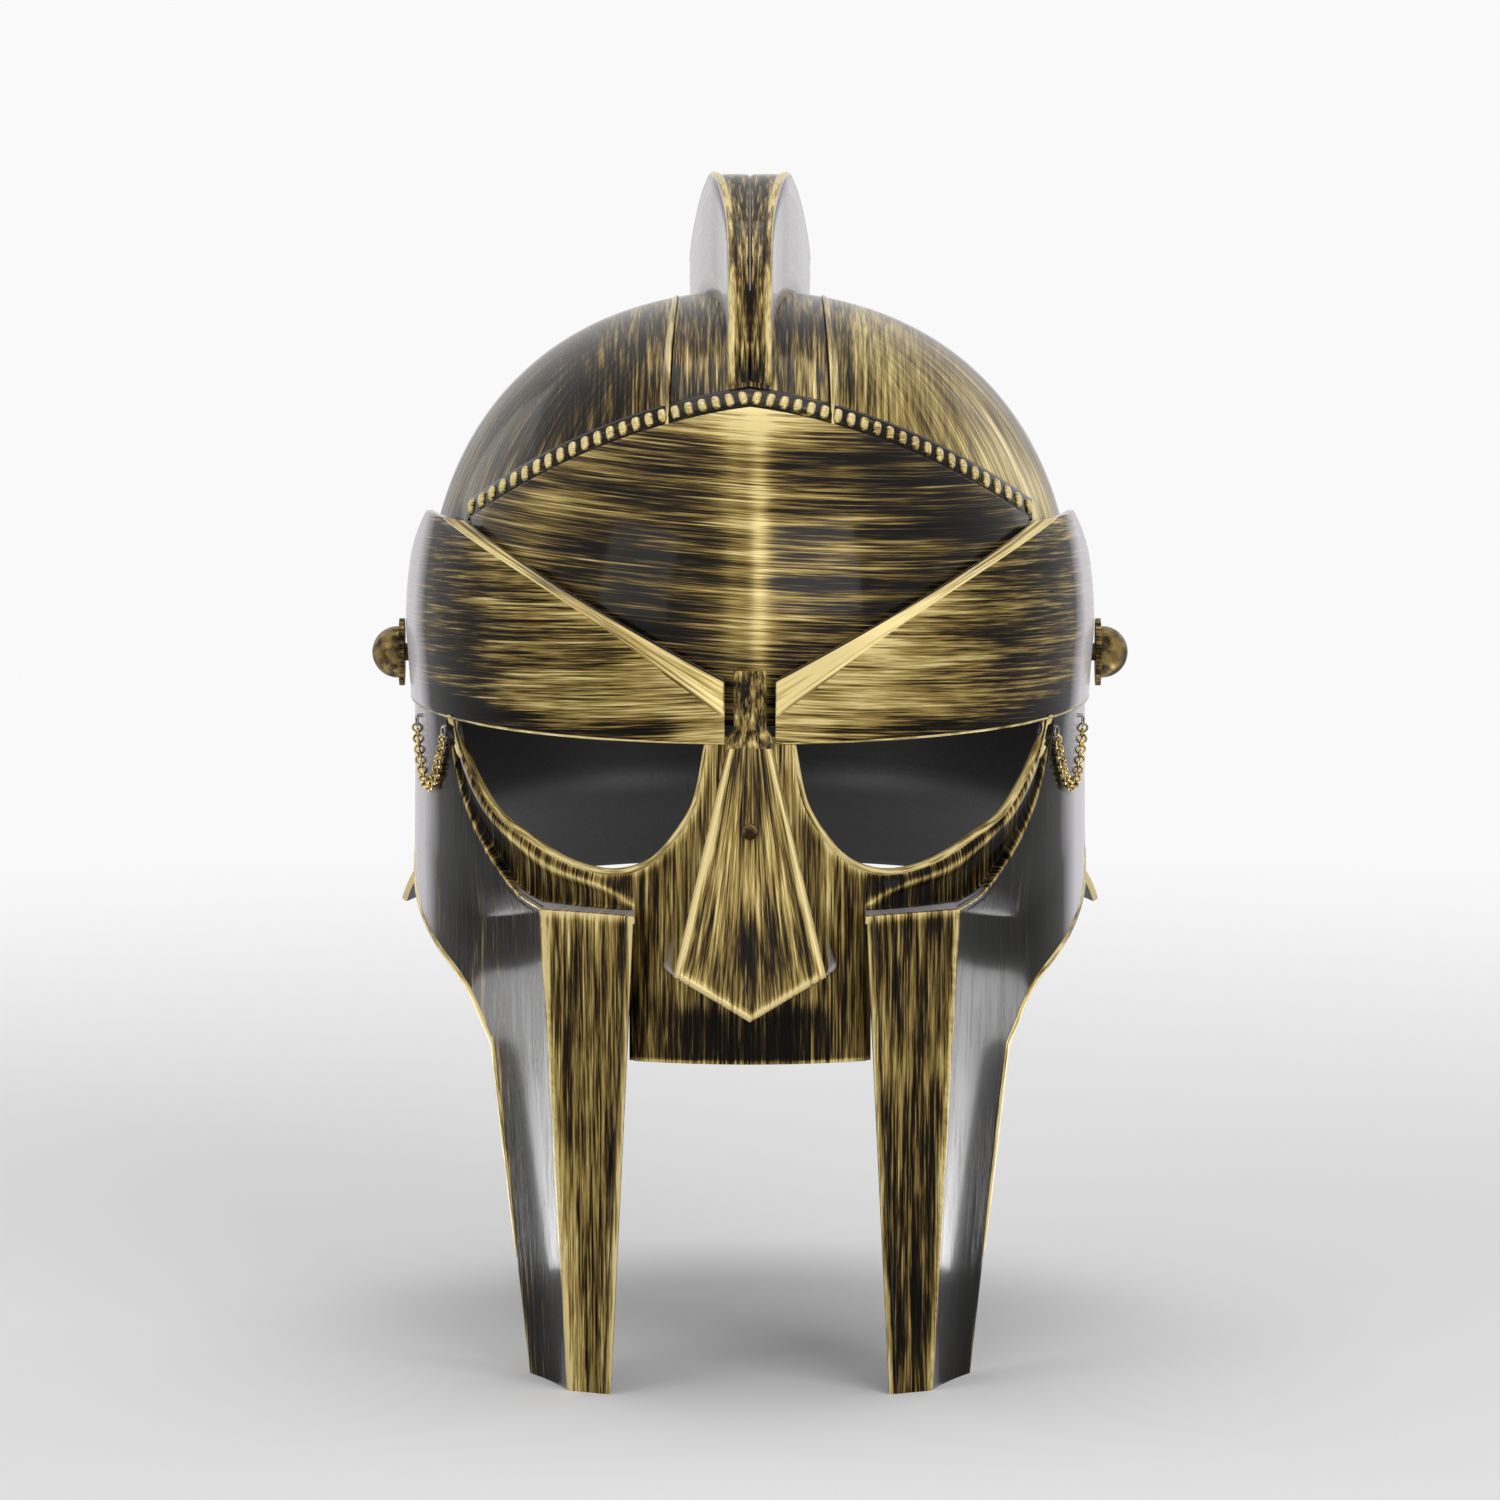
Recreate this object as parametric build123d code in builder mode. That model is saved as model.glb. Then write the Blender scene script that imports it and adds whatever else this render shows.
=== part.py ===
"""A crested gladiator helmet whose face mask lifts on two side knobs, in millimetres.

The origin lies midway between the knobs, on the axis that the mask turns about. +Z is up and
the face looks along -Y. Left and right are the wearer's, so left is +X.
"""

from build123d import *
from math import hypot, radians, tan
import os

os.makedirs("parts", exist_ok=True)

# Driving dimensions.

# The bowl: an oval dome above its widest level, and a skirt that draws in below it.
bowl_half_width = 91.5
bowl_half_length = 110.0
bowl_widest_level = 8.0
bowl_rise = 94.0
bowl_fullness_share = 0.613
shell_wall = 2.0
skirt_draft_degrees = 4.3
skirt_end_level = -50.0
neck_rim_level = -75.0
neck_flare = 12.5
neck_rim_half_width = bowl_half_width + neck_flare

# The crest: two half shells that meet on the middle plane.
crest_height = 34.0
crest_half_width = 17.5
crest_wall = 1.8

# The face mask: an oval cylinder round the face, with a blade down each cheek.
mask_side_gap = 3.3
mask_front_gap = 8.0
mask_half_width = bowl_half_width + mask_side_gap
mask_half_length = bowl_half_length + mask_front_gap
mask_wall = 2.0
mask_top_level = -13.0
lip_level = -100.0
cheek_top_level = -59.0
cheek_bottom_level = -192.0

# The brow: two plates that meet beside the nose bar in a V.
brow_outset = 5.8
brow_front_outset = 10.4
brow_wall = 1.7
brow_bottom_level = -12.0
brow_top_level = 42.7

# The surface that everything on the lifting mask stays outside of.
sweep_outset = 3.3
sweep_front_outset = 5.2

# The knobs that the mask turns on.
shank_diameter = 5.0
shank_clearance = 0.05
pivot_lobe_radius = 13.0

# How far a cutting block runs past what it cuts.
overrun = 60.0


def dome_shares(turn):
    """Shares of the width and the rise at one place on the dome's curve, from side to crown."""
    back = 1 - turn
    side = back**3 + 3 * back**2 * turn + 3 * back * turn**2 * bowl_fullness_share
    up = 3 * back**2 * turn * bowl_fullness_share + 3 * back * turn**2 + turn**3
    return side, up


def dome_share_from(wanted, which):
    """The dome's width share at a rise share (which 1), or the other way round (which 0)."""
    low, high = 0.0, 1.0
    for halving in range(50):
        middle = (low + high) / 2
        if (dome_shares(middle)[which] < wanted) == (which == 1):
            low = middle
        else:
            high = middle
    return dome_shares(low)[1 - which]


def bowl_half_width_at(height, outset):
    """Half the width of the grown bowl at a height."""
    width = bowl_half_width + outset
    if height < bowl_widest_level:
        return width - (bowl_widest_level - height) * tan(radians(skirt_draft_degrees))
    return width * dome_share_from((height - bowl_widest_level) / (bowl_rise + outset), 1)


def bowl_stretch(outset, front_outset):
    """How many times longer than wide the grown bowl is."""
    return (bowl_half_length + front_outset) / (bowl_half_width + outset)


def bowl_front_point(across, height, outset, front_outset):
    """The point on the front of the grown bowl with this X and Z."""
    width = bowl_half_width_at(height, outset)
    depth = width * (1 - (across / width) ** 2) ** 0.5
    return Vector(across, -depth * bowl_stretch(outset, front_outset), height)


def bowl_top_level(across, along, outset):
    """The height of the grown bowl's surface over a point in plan."""
    share = hypot(across, along / bowl_stretch(outset, outset)) / (bowl_half_width + outset)
    return bowl_widest_level + (bowl_rise + outset) * dome_share_from(share, 0)


def bowl(outset, front_outset):
    """The solid inside the bowl's surface, grown by one outset across and one along."""
    width = bowl_half_width + outset
    rise = bowl_rise + outset
    side = (width, bowl_widest_level)
    side_handle = (width, bowl_widest_level + rise * bowl_fullness_share)
    crown = (0, bowl_widest_level + rise)
    crown_handle = (width * bowl_fullness_share, bowl_widest_level + rise)
    skirt_end = (bowl_half_width_at(skirt_end_level, outset), skirt_end_level)
    rim = (neck_rim_half_width + outset, neck_rim_level)
    with BuildPart() as block:
        with BuildSketch(Plane.XZ):
            with BuildLine():
                Bezier(side, side_handle, crown_handle, crown)
                Polyline(side, skirt_end, rim, (0, neck_rim_level), crown)
            make_face()
        revolve(axis=Axis.Z)
        scale(by=(1, bowl_stretch(outset, front_outset), 1))
    return block.part


bowl_block = bowl(0, 0)
mask_sweep_block = bowl(sweep_outset, sweep_front_outset)

# Skull shell: one moulding, open below, cut away at the face and flared at the neck.

front_edge_level = -8.0
temple_edge_along = -16.0
neck_corner_along = 34.0
skirt_edge_shares = [(0.0, 0.0), (0.12, 0.30), (0.38, 0.66), (1.0, 1.0)]
skirt_edge_points = [
    (
        temple_edge_along + (neck_corner_along - temple_edge_along) * run_share,
        front_edge_level + (neck_rim_level - front_edge_level) * fall_share,
    )
    for run_share, fall_share in skirt_edge_shares
]

with BuildPart() as skull_shell:
    add(bowl_block)
    add(bowl(-shell_wall, -shell_wall), mode=Mode.SUBTRACT)
    # The open face, seen from the side: a level brow edge, then a sweep back to the neck.
    with BuildSketch(Plane.YZ):
        with BuildLine():
            sweep_edge = Spline(skirt_edge_points)
            Polyline(
                sweep_edge @ 1,
                (neck_corner_along, neck_rim_level - overrun),
                (-bowl_half_length - overrun, neck_rim_level - overrun),
                (-bowl_half_length - overrun, front_edge_level),
                sweep_edge @ 0,
            )
        make_face()
    extrude(amount=neck_rim_half_width + overrun, both=True, mode=Mode.SUBTRACT)
    with BuildSketch(Plane.YZ):
        Circle(shank_diameter / 2 + shank_clearance)
    extrude(amount=bowl_half_width + overrun, both=True, mode=Mode.SUBTRACT)

# Beaded band: a raised strip arched over the forehead, crossed by short rounded bars.

arch_peak_level = 79.0
arch_shoulder_share = 0.4153
arch_end_share = 0.8579
arch_shoulder_across = arch_shoulder_share * bowl_half_width
arch_shoulder_level = 69.0
arch_end_across = arch_end_share * bowl_half_width
arch_end_level = 44.5
band_width = 5.0
band_thickness = 1.0
bead_radius = 1.35
bead_centre_height = 0.6
bead_pitch = 3.7
bead_look_share = 0.01

arch_half = ThreePointArc(
    (0, 0, arch_peak_level),
    (arch_shoulder_across, 0, arch_shoulder_level),
    (arch_end_across, 0, arch_end_level),
)
beads_on_half = round(arch_half.length / bead_pitch)


def arch_point(share):
    """A point of the band's middle line on the bowl, by its share of the half arch."""
    seen = arch_half @ share
    return bowl_front_point(seen.X, seen.Z, bead_centre_height, bead_centre_height)


def bead_plane(share):
    """The plane of one bead: X along the band, Y across it and Z out of the bowl."""
    here = arch_point(share)
    low, high = max(0, share - bead_look_share), min(1, share + bead_look_share)
    along = arch_point(high) - arch_point(low)
    beside = bowl_front_point(
        here.X, here.Z - bead_radius, bead_centre_height, bead_centre_height
    )
    return Plane(here, x_dir=along, z_dir=along.cross(here - beside))


with BuildPart() as half_band:
    with BuildSketch(Plane.XZ):
        with BuildLine() as arch_line:
            ThreePointArc(
                (0, arch_peak_level),
                (arch_shoulder_across, arch_shoulder_level),
                (arch_end_across, arch_end_level),
            )
        trace(line_width=band_width)
    extrude(amount=bowl_half_length + overrun)
    add(bowl(band_thickness, band_thickness), mode=Mode.INTERSECT)
    for bead in range(beads_on_half):
        with Locations(Location(bead_plane((bead + 0.5) / beads_on_half))):
            Cylinder(bead_radius, band_width, rotation=(90, 0, 0))
    add(bowl_block, mode=Mode.SUBTRACT)
    split(bisect_by=Plane.YZ, keep=Keep.TOP)

with BuildPart() as beaded_band:
    add(half_band.part)
    mirror(half_band.part, about=Plane.YZ)

# Forehead plate: lies on the bowl under the band, and runs down behind the brow plates.

plate_thickness = 1.6
plate_gap = 0.4
plate_tuck = 7.0
plate_foot_half_width = 10.0

with BuildPart() as forehead_plate:
    with BuildSketch(Plane.XZ) as forehead_outline:
        with BuildLine():
            ThreePointArc(
                (0, arch_peak_level),
                (arch_shoulder_across, arch_shoulder_level),
                (arch_end_across, arch_end_level),
            )
            Polyline(
                (arch_end_across, arch_end_level),
                (arch_end_across, brow_top_level - plate_tuck),
                (plate_foot_half_width, front_edge_level),
                (0, front_edge_level),
                (0, arch_peak_level),
            )
        make_face()
        mirror(about=Plane.YZ)
        with BuildLine():
            ThreePointArc(
                (-arch_end_across, arch_end_level),
                (-arch_shoulder_across, arch_shoulder_level),
                (0, arch_peak_level),
            )
            ThreePointArc(
                (0, arch_peak_level),
                (arch_shoulder_across, arch_shoulder_level),
                (arch_end_across, arch_end_level),
            )
        trace(line_width=band_width + 2 * plate_gap, mode=Mode.SUBTRACT)
        with Locations(
            (arch_end_across, arch_end_level), (-arch_end_across, arch_end_level)
        ):
            Circle(band_width / 2 + plate_gap, mode=Mode.SUBTRACT)
    extrude(amount=bowl_half_length + overrun)
    add(bowl(plate_thickness, plate_thickness), mode=Mode.INTERSECT)
    add(bowl_block, mode=Mode.SUBTRACT)

# Crest: a hollow fin over the crown, widest towards the back, split along its middle.

bowl_top = bowl_widest_level + bowl_rise
crest_top = bowl_top + crest_height
# Seen from the side: shares of the bowl's half length and of the crest's top level.
crest_side_shares = [
    (-0.63, 0.600),
    (-0.60, 0.735),
    (-0.44, 0.890),
    (-0.20, 0.978),
    (0.00, 1.000),
    (0.23, 0.956),
    (0.455, 0.890),
    (0.68, 0.800),
    (0.86, 0.655),
    (0.93, 0.480),
    (0.90, 0.400),
]
# Seen from above: shares of the bowl's half length and of the crest's half width.
crest_plan_shares = [
    (-0.75, 0.335),
    (-0.41, 0.370),
    (-0.18, 0.490),
    (0.00, 0.630),
    (0.23, 0.775),
    (0.455, 0.890),
    (0.70, 1.000),
]
crest_tail_share = 0.96
crest_tail_width_share = 0.32
crest_root_level = 30.0
crest_root_front_along = -50.0
crest_root_back_along = 70.0


def crest_side_points(inset):
    """The crest's outline seen from the side, each point drawn in towards its root."""
    root = Vector(0, crest_root_level)
    points = [
        Vector(along_share * bowl_half_length, level_share * crest_top)
        for along_share, level_share in crest_side_shares
    ]
    return [point + (root - point).normalized() * inset for point in points]


def crest_plan_points(inset):
    """Half of the crest's outline seen from above, drawn in towards the middle plane."""
    return [
        (width_share * crest_half_width - inset, along_share * bowl_half_length)
        for along_share, width_share in crest_plan_shares
    ]


def crest_block(inset):
    """The solid inside the crest's walls, drawn in from its outer faces by an inset."""
    tail_along = crest_tail_share * bowl_half_length - inset
    tail_across = crest_tail_width_share * crest_half_width - inset
    with BuildPart() as block:
        with BuildSketch(Plane.YZ):
            with BuildLine():
                side_curve = Spline(crest_side_points(inset))
                Polyline(
                    side_curve @ 1,
                    (crest_root_back_along, crest_root_level),
                    (crest_root_front_along, crest_root_level),
                    side_curve @ 0,
                )
            make_face()
        extrude(amount=crest_half_width, both=True)
        with BuildSketch(Plane.XY):
            with BuildLine():
                plan_curve = Spline(crest_plan_points(inset))
                Polyline(
                    plan_curve @ 1,
                    (tail_across, tail_along),
                    (0, tail_along),
                    (0, crest_plan_points(inset)[0][1]),
                    plan_curve @ 0,
                )
            make_face()
            mirror(about=Plane.YZ)
        extrude(amount=crest_top + overrun, mode=Mode.INTERSECT)
    return block.part


# Each half is screwed down from inside the bowl, into two posts that reach up to its roof.
screw_diameter = 2.9
screw_hole_clearance = 0.15
screw_head_diameter = 5.6
screw_head_height = 1.8
screw_bite = 9.0
crest_post_diameter = 5.4
# Where the left half's screws stand: shares of the crest's half width and the bowl's length.
screw_shares = [(0.286, 0.018), (0.486, 0.382)]
screw_places = [
    (across_share * crest_half_width, along_share * bowl_half_length)
    for across_share, along_share in screw_shares
]

with BuildPart() as crest_posts:
    for across, along in screw_places:
        with BuildSketch(Plane.XY.offset(bowl_widest_level)):
            with Locations((across, along)):
                Circle(crest_post_diameter / 2)
        extrude(amount=crest_top)
    add(crest_block(0), mode=Mode.INTERSECT)

with BuildPart() as screw_bores:
    for across, along in screw_places:
        with BuildSketch(Plane.XY.offset(bowl_top_level(across, along, screw_bite))):
            with Locations((across, along)):
                Circle(screw_diameter / 2)
        extrude(amount=-overrun)

with BuildPart() as crest_half_left:
    add(crest_block(0))
    add(crest_block(crest_wall), mode=Mode.SUBTRACT)
    add(crest_posts.part)
    add(bowl_block, mode=Mode.SUBTRACT)
    add(screw_bores.part, mode=Mode.SUBTRACT)
    split(bisect_by=Plane.YZ, keep=Keep.TOP)

with BuildPart() as crest_half_right:
    mirror(crest_half_left.part, about=Plane.YZ)

with BuildPart() as left_crest_screws:
    for across, along in screw_places:
        seat = bowl_top_level(across + screw_head_diameter / 2, along, -shell_wall)
        seat = min(seat, bowl_top_level(across, along + screw_head_diameter / 2, -shell_wall))
        tip = bowl_top_level(across, along, screw_bite)
        with BuildSketch(Plane.XY.offset(seat - screw_head_height)):
            with Locations((across, along)):
                Circle(screw_head_diameter / 2)
        extrude(amount=screw_head_height)
        with BuildSketch(Plane.XY.offset(seat)):
            with Locations((across, along)):
                Circle(screw_diameter / 2)
        extrude(amount=tip - seat)

with BuildPart() as crest_screws:
    add(left_crest_screws.part)
    mirror(left_crest_screws.part, about=Plane.YZ)

# The bowl is drilled for those screws.

with BuildPart() as screw_drill:
    for across, along in screw_places:
        with BuildSketch(Plane.XY.offset(bowl_widest_level)):
            with Locations((across, along), (-across, along)):
                Circle(screw_diameter / 2 + screw_hole_clearance)
        extrude(amount=crest_top)

with BuildPart() as drilled_shell:
    add(skull_shell.part)
    add(screw_drill.part, mode=Mode.SUBTRACT)
skull_shell = drilled_shell

# Brow plates: each stands off the bowl, with a bevel down to the V and a wall at its inner end.

v_foot_across = 7.0
v_foot_level = 5.3
v_top_share = 0.8634
bevel_top_share = 0.9399
bevel_middle_share = 0.5530
v_top_across = v_top_share * bowl_half_width
bevel_top_across = bevel_top_share * bowl_half_width
bevel_middle_across = bevel_middle_share * bowl_half_width
bevel_middle_level = 25.0
bevel_foot_level = -3.5
rim_stations = 12
rim_gap = 0.05
rim_wall = 1.0
brow_rear_along = -24.0
brow_lobe_radius = 19.0
brow_shoulder_along = 8.0
brow_shoulder_level = 17.2
boss_diameter = 15.0
boss_height = 0.3
boss_face_across = bowl_half_width + brow_outset + boss_height


def v_point(share):
    """A point on the V where the bevel ends, one rim wall out from the swept surface."""
    across = v_foot_across + (v_top_across - v_foot_across) * share
    level = v_foot_level + (brow_top_level - v_foot_level) * share
    return bowl_front_point(
        across, level, sweep_outset + rim_wall, sweep_front_outset + rim_wall
    )


rim_line = ThreePointArc(
    (v_foot_across, 0, bevel_foot_level),
    (bevel_middle_across, 0, bevel_middle_level),
    (bevel_top_across, 0, brow_top_level),
)


def ridge_point(share):
    """A point on the brow's ridge, just clear of the plate's upper edge."""
    seen = rim_line @ share
    return bowl_front_point(seen.X, seen.Z + rim_gap, brow_outset, brow_front_outset)


with BuildPart() as brow_shell:
    # Seen from the front: everything below the ridge line.
    with BuildSketch(Plane.XZ):
        with BuildLine():
            ThreePointArc(
                (v_foot_across, bevel_foot_level),
                (bevel_middle_across, bevel_middle_level),
                (bevel_top_across, brow_top_level),
            )
            Polyline(
                (bevel_top_across, brow_top_level),
                (bowl_half_width + overrun, brow_top_level),
                (bowl_half_width + overrun, brow_bottom_level),
                (v_foot_across, brow_bottom_level),
                (v_foot_across, bevel_foot_level),
            )
        make_face()
    extrude(amount=bowl_half_length + overrun, both=True)
    # Seen from the side: level in front, falling to a rounded lobe round the knob.
    with BuildSketch(Plane.YZ):
        Circle(brow_lobe_radius)
        with BuildLine():
            Polyline(
                (-bowl_half_length - overrun, brow_bottom_level),
                (-bowl_half_length - overrun, brow_top_level),
                (brow_rear_along, brow_top_level),
                (brow_shoulder_along, brow_shoulder_level),
                (0, 0),
                (0, brow_bottom_level),
                (-bowl_half_length - overrun, brow_bottom_level),
            )
        make_face()
        with Locations((0, brow_bottom_level)):
            Rectangle(
                2 * brow_lobe_radius,
                brow_lobe_radius,
                align=(Align.CENTER, Align.MAX),
                mode=Mode.SUBTRACT,
            )
    extrude(amount=bowl_half_width + overrun, mode=Mode.INTERSECT)
    add(bowl(brow_outset, brow_front_outset), mode=Mode.INTERSECT)
    add(bowl(brow_outset - brow_wall, brow_front_outset - brow_wall), mode=Mode.SUBTRACT)

with BuildPart() as brow_ledge:
    with BuildSketch(Plane.XY.offset(brow_top_level)):
        with BuildLine():
            Polyline(
                (bevel_top_across + rim_gap, brow_rear_along),
                (bowl_half_width + overrun, brow_rear_along),
                (bowl_half_width + overrun, -bowl_half_length),
                (bevel_top_across + rim_gap, -bowl_half_length),
                (bevel_top_across + rim_gap, brow_rear_along),
            )
        make_face()
    extrude(amount=-brow_wall)
    add(bowl(brow_outset, brow_front_outset), mode=Mode.INTERSECT)
    add(mask_sweep_block, mode=Mode.SUBTRACT)

with BuildPart() as brow_plate_left:
    add(brow_shell.part)
    add(brow_ledge.part)
    # The wall at the inner end, beside the nose bar.
    foot_ridge, foot_valley = ridge_point(0), v_point(0)
    with BuildSketch(Plane.YZ.offset(v_foot_across)):
        with BuildLine():
            Polyline(
                (foot_ridge.Y, bevel_foot_level),
                (foot_valley.Y, bevel_foot_level),
                (foot_valley.Y, brow_bottom_level),
                (foot_ridge.Y, brow_bottom_level),
                (foot_ridge.Y, bevel_foot_level),
            )
        make_face()
    extrude(amount=brow_wall)
    # The flat boss that the knob's washer turns against, and the pivot hole through it.
    with BuildSketch(Plane.YZ.offset(boss_face_across)):
        Circle(boss_diameter / 2)
    extrude(amount=-brow_wall)
    with BuildSketch(Plane.YZ):
        Circle(shank_diameter / 2 + shank_clearance)
    extrude(amount=bowl_half_width + overrun, mode=Mode.SUBTRACT)

with BuildPart() as brow_plate_right:
    mirror(brow_plate_left.part, about=Plane.YZ)

# Brow rims: the bevelled trims along the V, from each plate's ridge in to the forehead.

rim_depth = Vector(0, rim_wall, 0)
rim_sections = []
for station in range(rim_stations + 1):
    ridge = ridge_point(station / rim_stations)
    valley = v_point(station / rim_stations)
    corners = [ridge, valley, valley + rim_depth, ridge + rim_depth]
    rim_sections.append(Face(Wire.make_polygon(corners, close=True)))

with BuildPart() as brow_rim_left:
    loft(sections=rim_sections, ruled=True)

with BuildPart() as brow_rim_right:
    mirror(brow_rim_left.part, about=Plane.YZ)

# Face mask: an oval wall round the face with the eyes cut out, a nose and two cheek blades.

nose_bar_half_width = 4.5
nose_bar_top_level = 8.0
nose_tab_level = -9.0
nose_top_half_width = 6.0
nose_corner_half_width = 20.5
nose_corner_level = -74.0
nose_tip_level = -86.0
nose_reach = 12.0
nose_flank = 3.5
lobe_wall = 1.4
lobe_outset = 2.3
rim_width = 2.6
rim_height = 0.9

mask_stretch = mask_half_length / mask_half_width
nose_bar_front = bowl_half_length + sweep_front_outset + mask_wall

# The rear edge seen from the side, as shares of the mask's half length and of its depth.
jaw_edge_shares = [(0.05, 0.55), (-0.10, 0.645), (-0.33, 0.745), (-0.55, 0.850), (-0.66, 1.0)]
jaw_edge_points = [
    (along_share * mask_half_length, level_share * lip_level)
    for along_share, level_share in jaw_edge_shares
]
# The eye seen from the front, as shares of the mask's half width and of its lowest level.
eye_bottom_level = -48.5
eye_shares = [
    (0.120, 0.18),
    (0.155, 0.56),
    (0.225, 0.80),
    (0.300, 0.94),
    (0.405, 1.00),
    (0.530, 0.96),
    (0.655, 0.84),
    (0.755, 0.70),
    (0.855, 0.36),
    (0.865, 0.18),
]
eye_points = [
    (width_share * mask_half_width, level_share * eye_bottom_level)
    for width_share, level_share in eye_shares
]


def mask_oval(inset, height):
    """The solid oval cylinder inside the mask's wall, from the lip up to a height."""
    with BuildPart() as block:
        with BuildSketch(Plane.XY.offset(height)):
            Ellipse(mask_half_width - inset, mask_half_length - inset)
        extrude(amount=lip_level - height)
    return block.part


with BuildSketch(Plane.YZ) as jaw_outline:
    with BuildLine():
        jaw_curve = Spline(jaw_edge_points)
        Polyline(
            jaw_curve @ 1,
            (-mask_half_length - overrun, lip_level),
            (-mask_half_length - overrun, mask_top_level),
            (jaw_edge_points[0][0], mask_top_level),
            jaw_curve @ 0,
        )
    make_face()

with BuildPart() as mask_wings:
    with BuildSketch(Plane.YZ):
        add(jaw_outline.sketch_local)
    extrude(amount=mask_half_width + overrun, both=True)
    add(mask_oval(0, mask_top_level), mode=Mode.INTERSECT)
    add(mask_oval(mask_wall, mask_top_level), mode=Mode.SUBTRACT)

# The raised rim along the mask's rear edge.
with BuildPart() as mask_rim:
    with BuildSketch(Plane.YZ):
        add(jaw_outline.sketch_local)
        with Locations((-rim_width, 0)):
            add(jaw_outline.sketch_local, mode=Mode.SUBTRACT)
    extrude(amount=mask_half_width + overrun, both=True)
    add(mask_oval(-rim_height, mask_top_level), mode=Mode.INTERSECT)
    add(mask_oval(mask_wall, mask_top_level), mode=Mode.SUBTRACT)

# The lobes that turn on the knobs, thinner and drawn in so that they pass behind the brow.
with BuildPart() as mask_lobes:
    with BuildSketch(Plane.YZ):
        Circle(pivot_lobe_radius)
        with Locations((0, 0)):
            Rectangle(
                2 * pivot_lobe_radius,
                mask_wall - mask_top_level,
                align=(Align.CENTER, Align.MAX),
            )
    extrude(amount=mask_half_width + overrun, both=True)
    with BuildSketch(Plane.XY.offset(-overrun)):
        Ellipse(bowl_half_width + lobe_outset, mask_half_length)
        Ellipse(
            bowl_half_width + lobe_outset - lobe_wall,
            mask_half_length - lobe_wall,
            mode=Mode.SUBTRACT,
        )
    extrude(amount=2 * overrun, mode=Mode.INTERSECT)


def nose_outline(inset):
    """The nose seen from the front, drawn in by an inset: narrow above, pointed below."""
    with BuildSketch(Plane.XZ) as outline:
        with BuildLine():
            Polyline(
                (nose_top_half_width - inset, mask_top_level),
                (nose_corner_half_width - inset, nose_corner_level),
                (0, nose_tip_level + inset),
                (inset - nose_corner_half_width, nose_corner_level),
                (inset - nose_top_half_width, mask_top_level),
                (nose_top_half_width - inset, mask_top_level),
            )
        make_face()
    return outline.sketch_local


nose_slope = nose_reach / (mask_top_level - nose_corner_level)


def nose_front(level, proud):
    """Y of the sloping front of the nose at a level, brought forward by an amount."""
    return -mask_half_length - proud - nose_slope * (mask_top_level - level)


def behind_nose(proud):
    """The block behind the nose's sloping front, seen from the side."""
    top, bottom = nose_bar_top_level, nose_tip_level - nose_bar_top_level
    with BuildPart() as block:
        with BuildSketch(Plane.YZ):
            with BuildLine():
                Polyline(
                    (nose_front(top, proud), top),
                    (0, top),
                    (0, bottom),
                    (nose_front(bottom, proud), bottom),
                    (nose_front(top, proud), top),
                )
            make_face()
        extrude(amount=nose_corner_half_width + overrun, both=True)
    return block.part


guard_thickness = 1.8

with BuildPart() as nose_block:
    with BuildSketch(Plane.XZ):
        add(nose_outline(-nose_flank))
    extrude(amount=mask_half_length + overrun)
    add(behind_nose(0), mode=Mode.INTERSECT)
    add(mask_oval(mask_wall, 0), mode=Mode.SUBTRACT)

with BuildPart() as nose_hollow:
    with BuildSketch(Plane.XZ):
        add(nose_outline(-nose_flank))
        offset(amount=-mask_wall, mode=Mode.REPLACE)
    extrude(amount=mask_half_length + overrun)
    add(behind_nose(-mask_wall), mode=Mode.INTERSECT)

# Nose guard: a raised facet bonded to the front of the mask's nose.

with BuildPart() as nose_guard:
    with BuildSketch(Plane.XZ):
        add(nose_outline(0))
    extrude(amount=mask_half_length + overrun)
    add(behind_nose(guard_thickness), mode=Mode.INTERSECT)
    add(behind_nose(0), mode=Mode.SUBTRACT)

# The mask is put together from the wings, rim, lobes, nose, nose bar and cheek blades.

# Each cheek blade in plan, at its top and at its foot: rear edge, ridge, front edge, return.
# They are shares of the mask's half width and half length.
blade_top_shares = [(0.738, 0.674), (0.601, 0.898), (0.332, 1.017), (0.332, 0.953)]
blade_foot_shares = [(0.6435, 0.695), (0.527, 0.9195), (0.401, 0.970), (0.401, 0.9195)]
blade_top_corners, blade_foot_corners = [
    [
        (across_share * mask_half_width, -along_share * mask_half_length)
        for across_share, along_share in corner_shares
    ]
    for corner_shares in (blade_top_shares, blade_foot_shares)
]


def blade_section(corners, level):
    """The closed strip of one blade's wall in plan, outer corners first, then the inner."""
    rear, ridge, front, back = [Vector(across, along, level) for across, along in corners]
    inner_rear = rear + Vector(-mask_wall, 0, 0)
    inner_ridge = ridge + Vector(-mask_wall, mask_wall / 2, 0)
    inner_front = front + Vector(mask_wall, mask_wall, 0)
    inner_back = back + Vector(mask_wall, 0, 0)
    points = [rear, ridge, front, back, inner_back, inner_front, inner_ridge, inner_rear]
    return Face(Wire.make_polygon(points, close=True))


with BuildPart() as cheek_blade:
    loft(
        sections=[
            blade_section(blade_foot_corners, cheek_bottom_level),
            blade_section(blade_top_corners, cheek_top_level),
        ],
        ruled=True,
    )
    # The ledge that closes the blade's top, back to the mask's oval wall.
    with BuildSketch(Plane.XY.offset(cheek_top_level)):
        with BuildLine():
            Polyline(*blade_top_corners, blade_top_corners[0])
        make_face()
        Ellipse(
            mask_half_width - mask_wall / 2,
            mask_half_length - mask_wall / 2,
            mode=Mode.SUBTRACT,
        )
    extrude(amount=-mask_wall)

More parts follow.
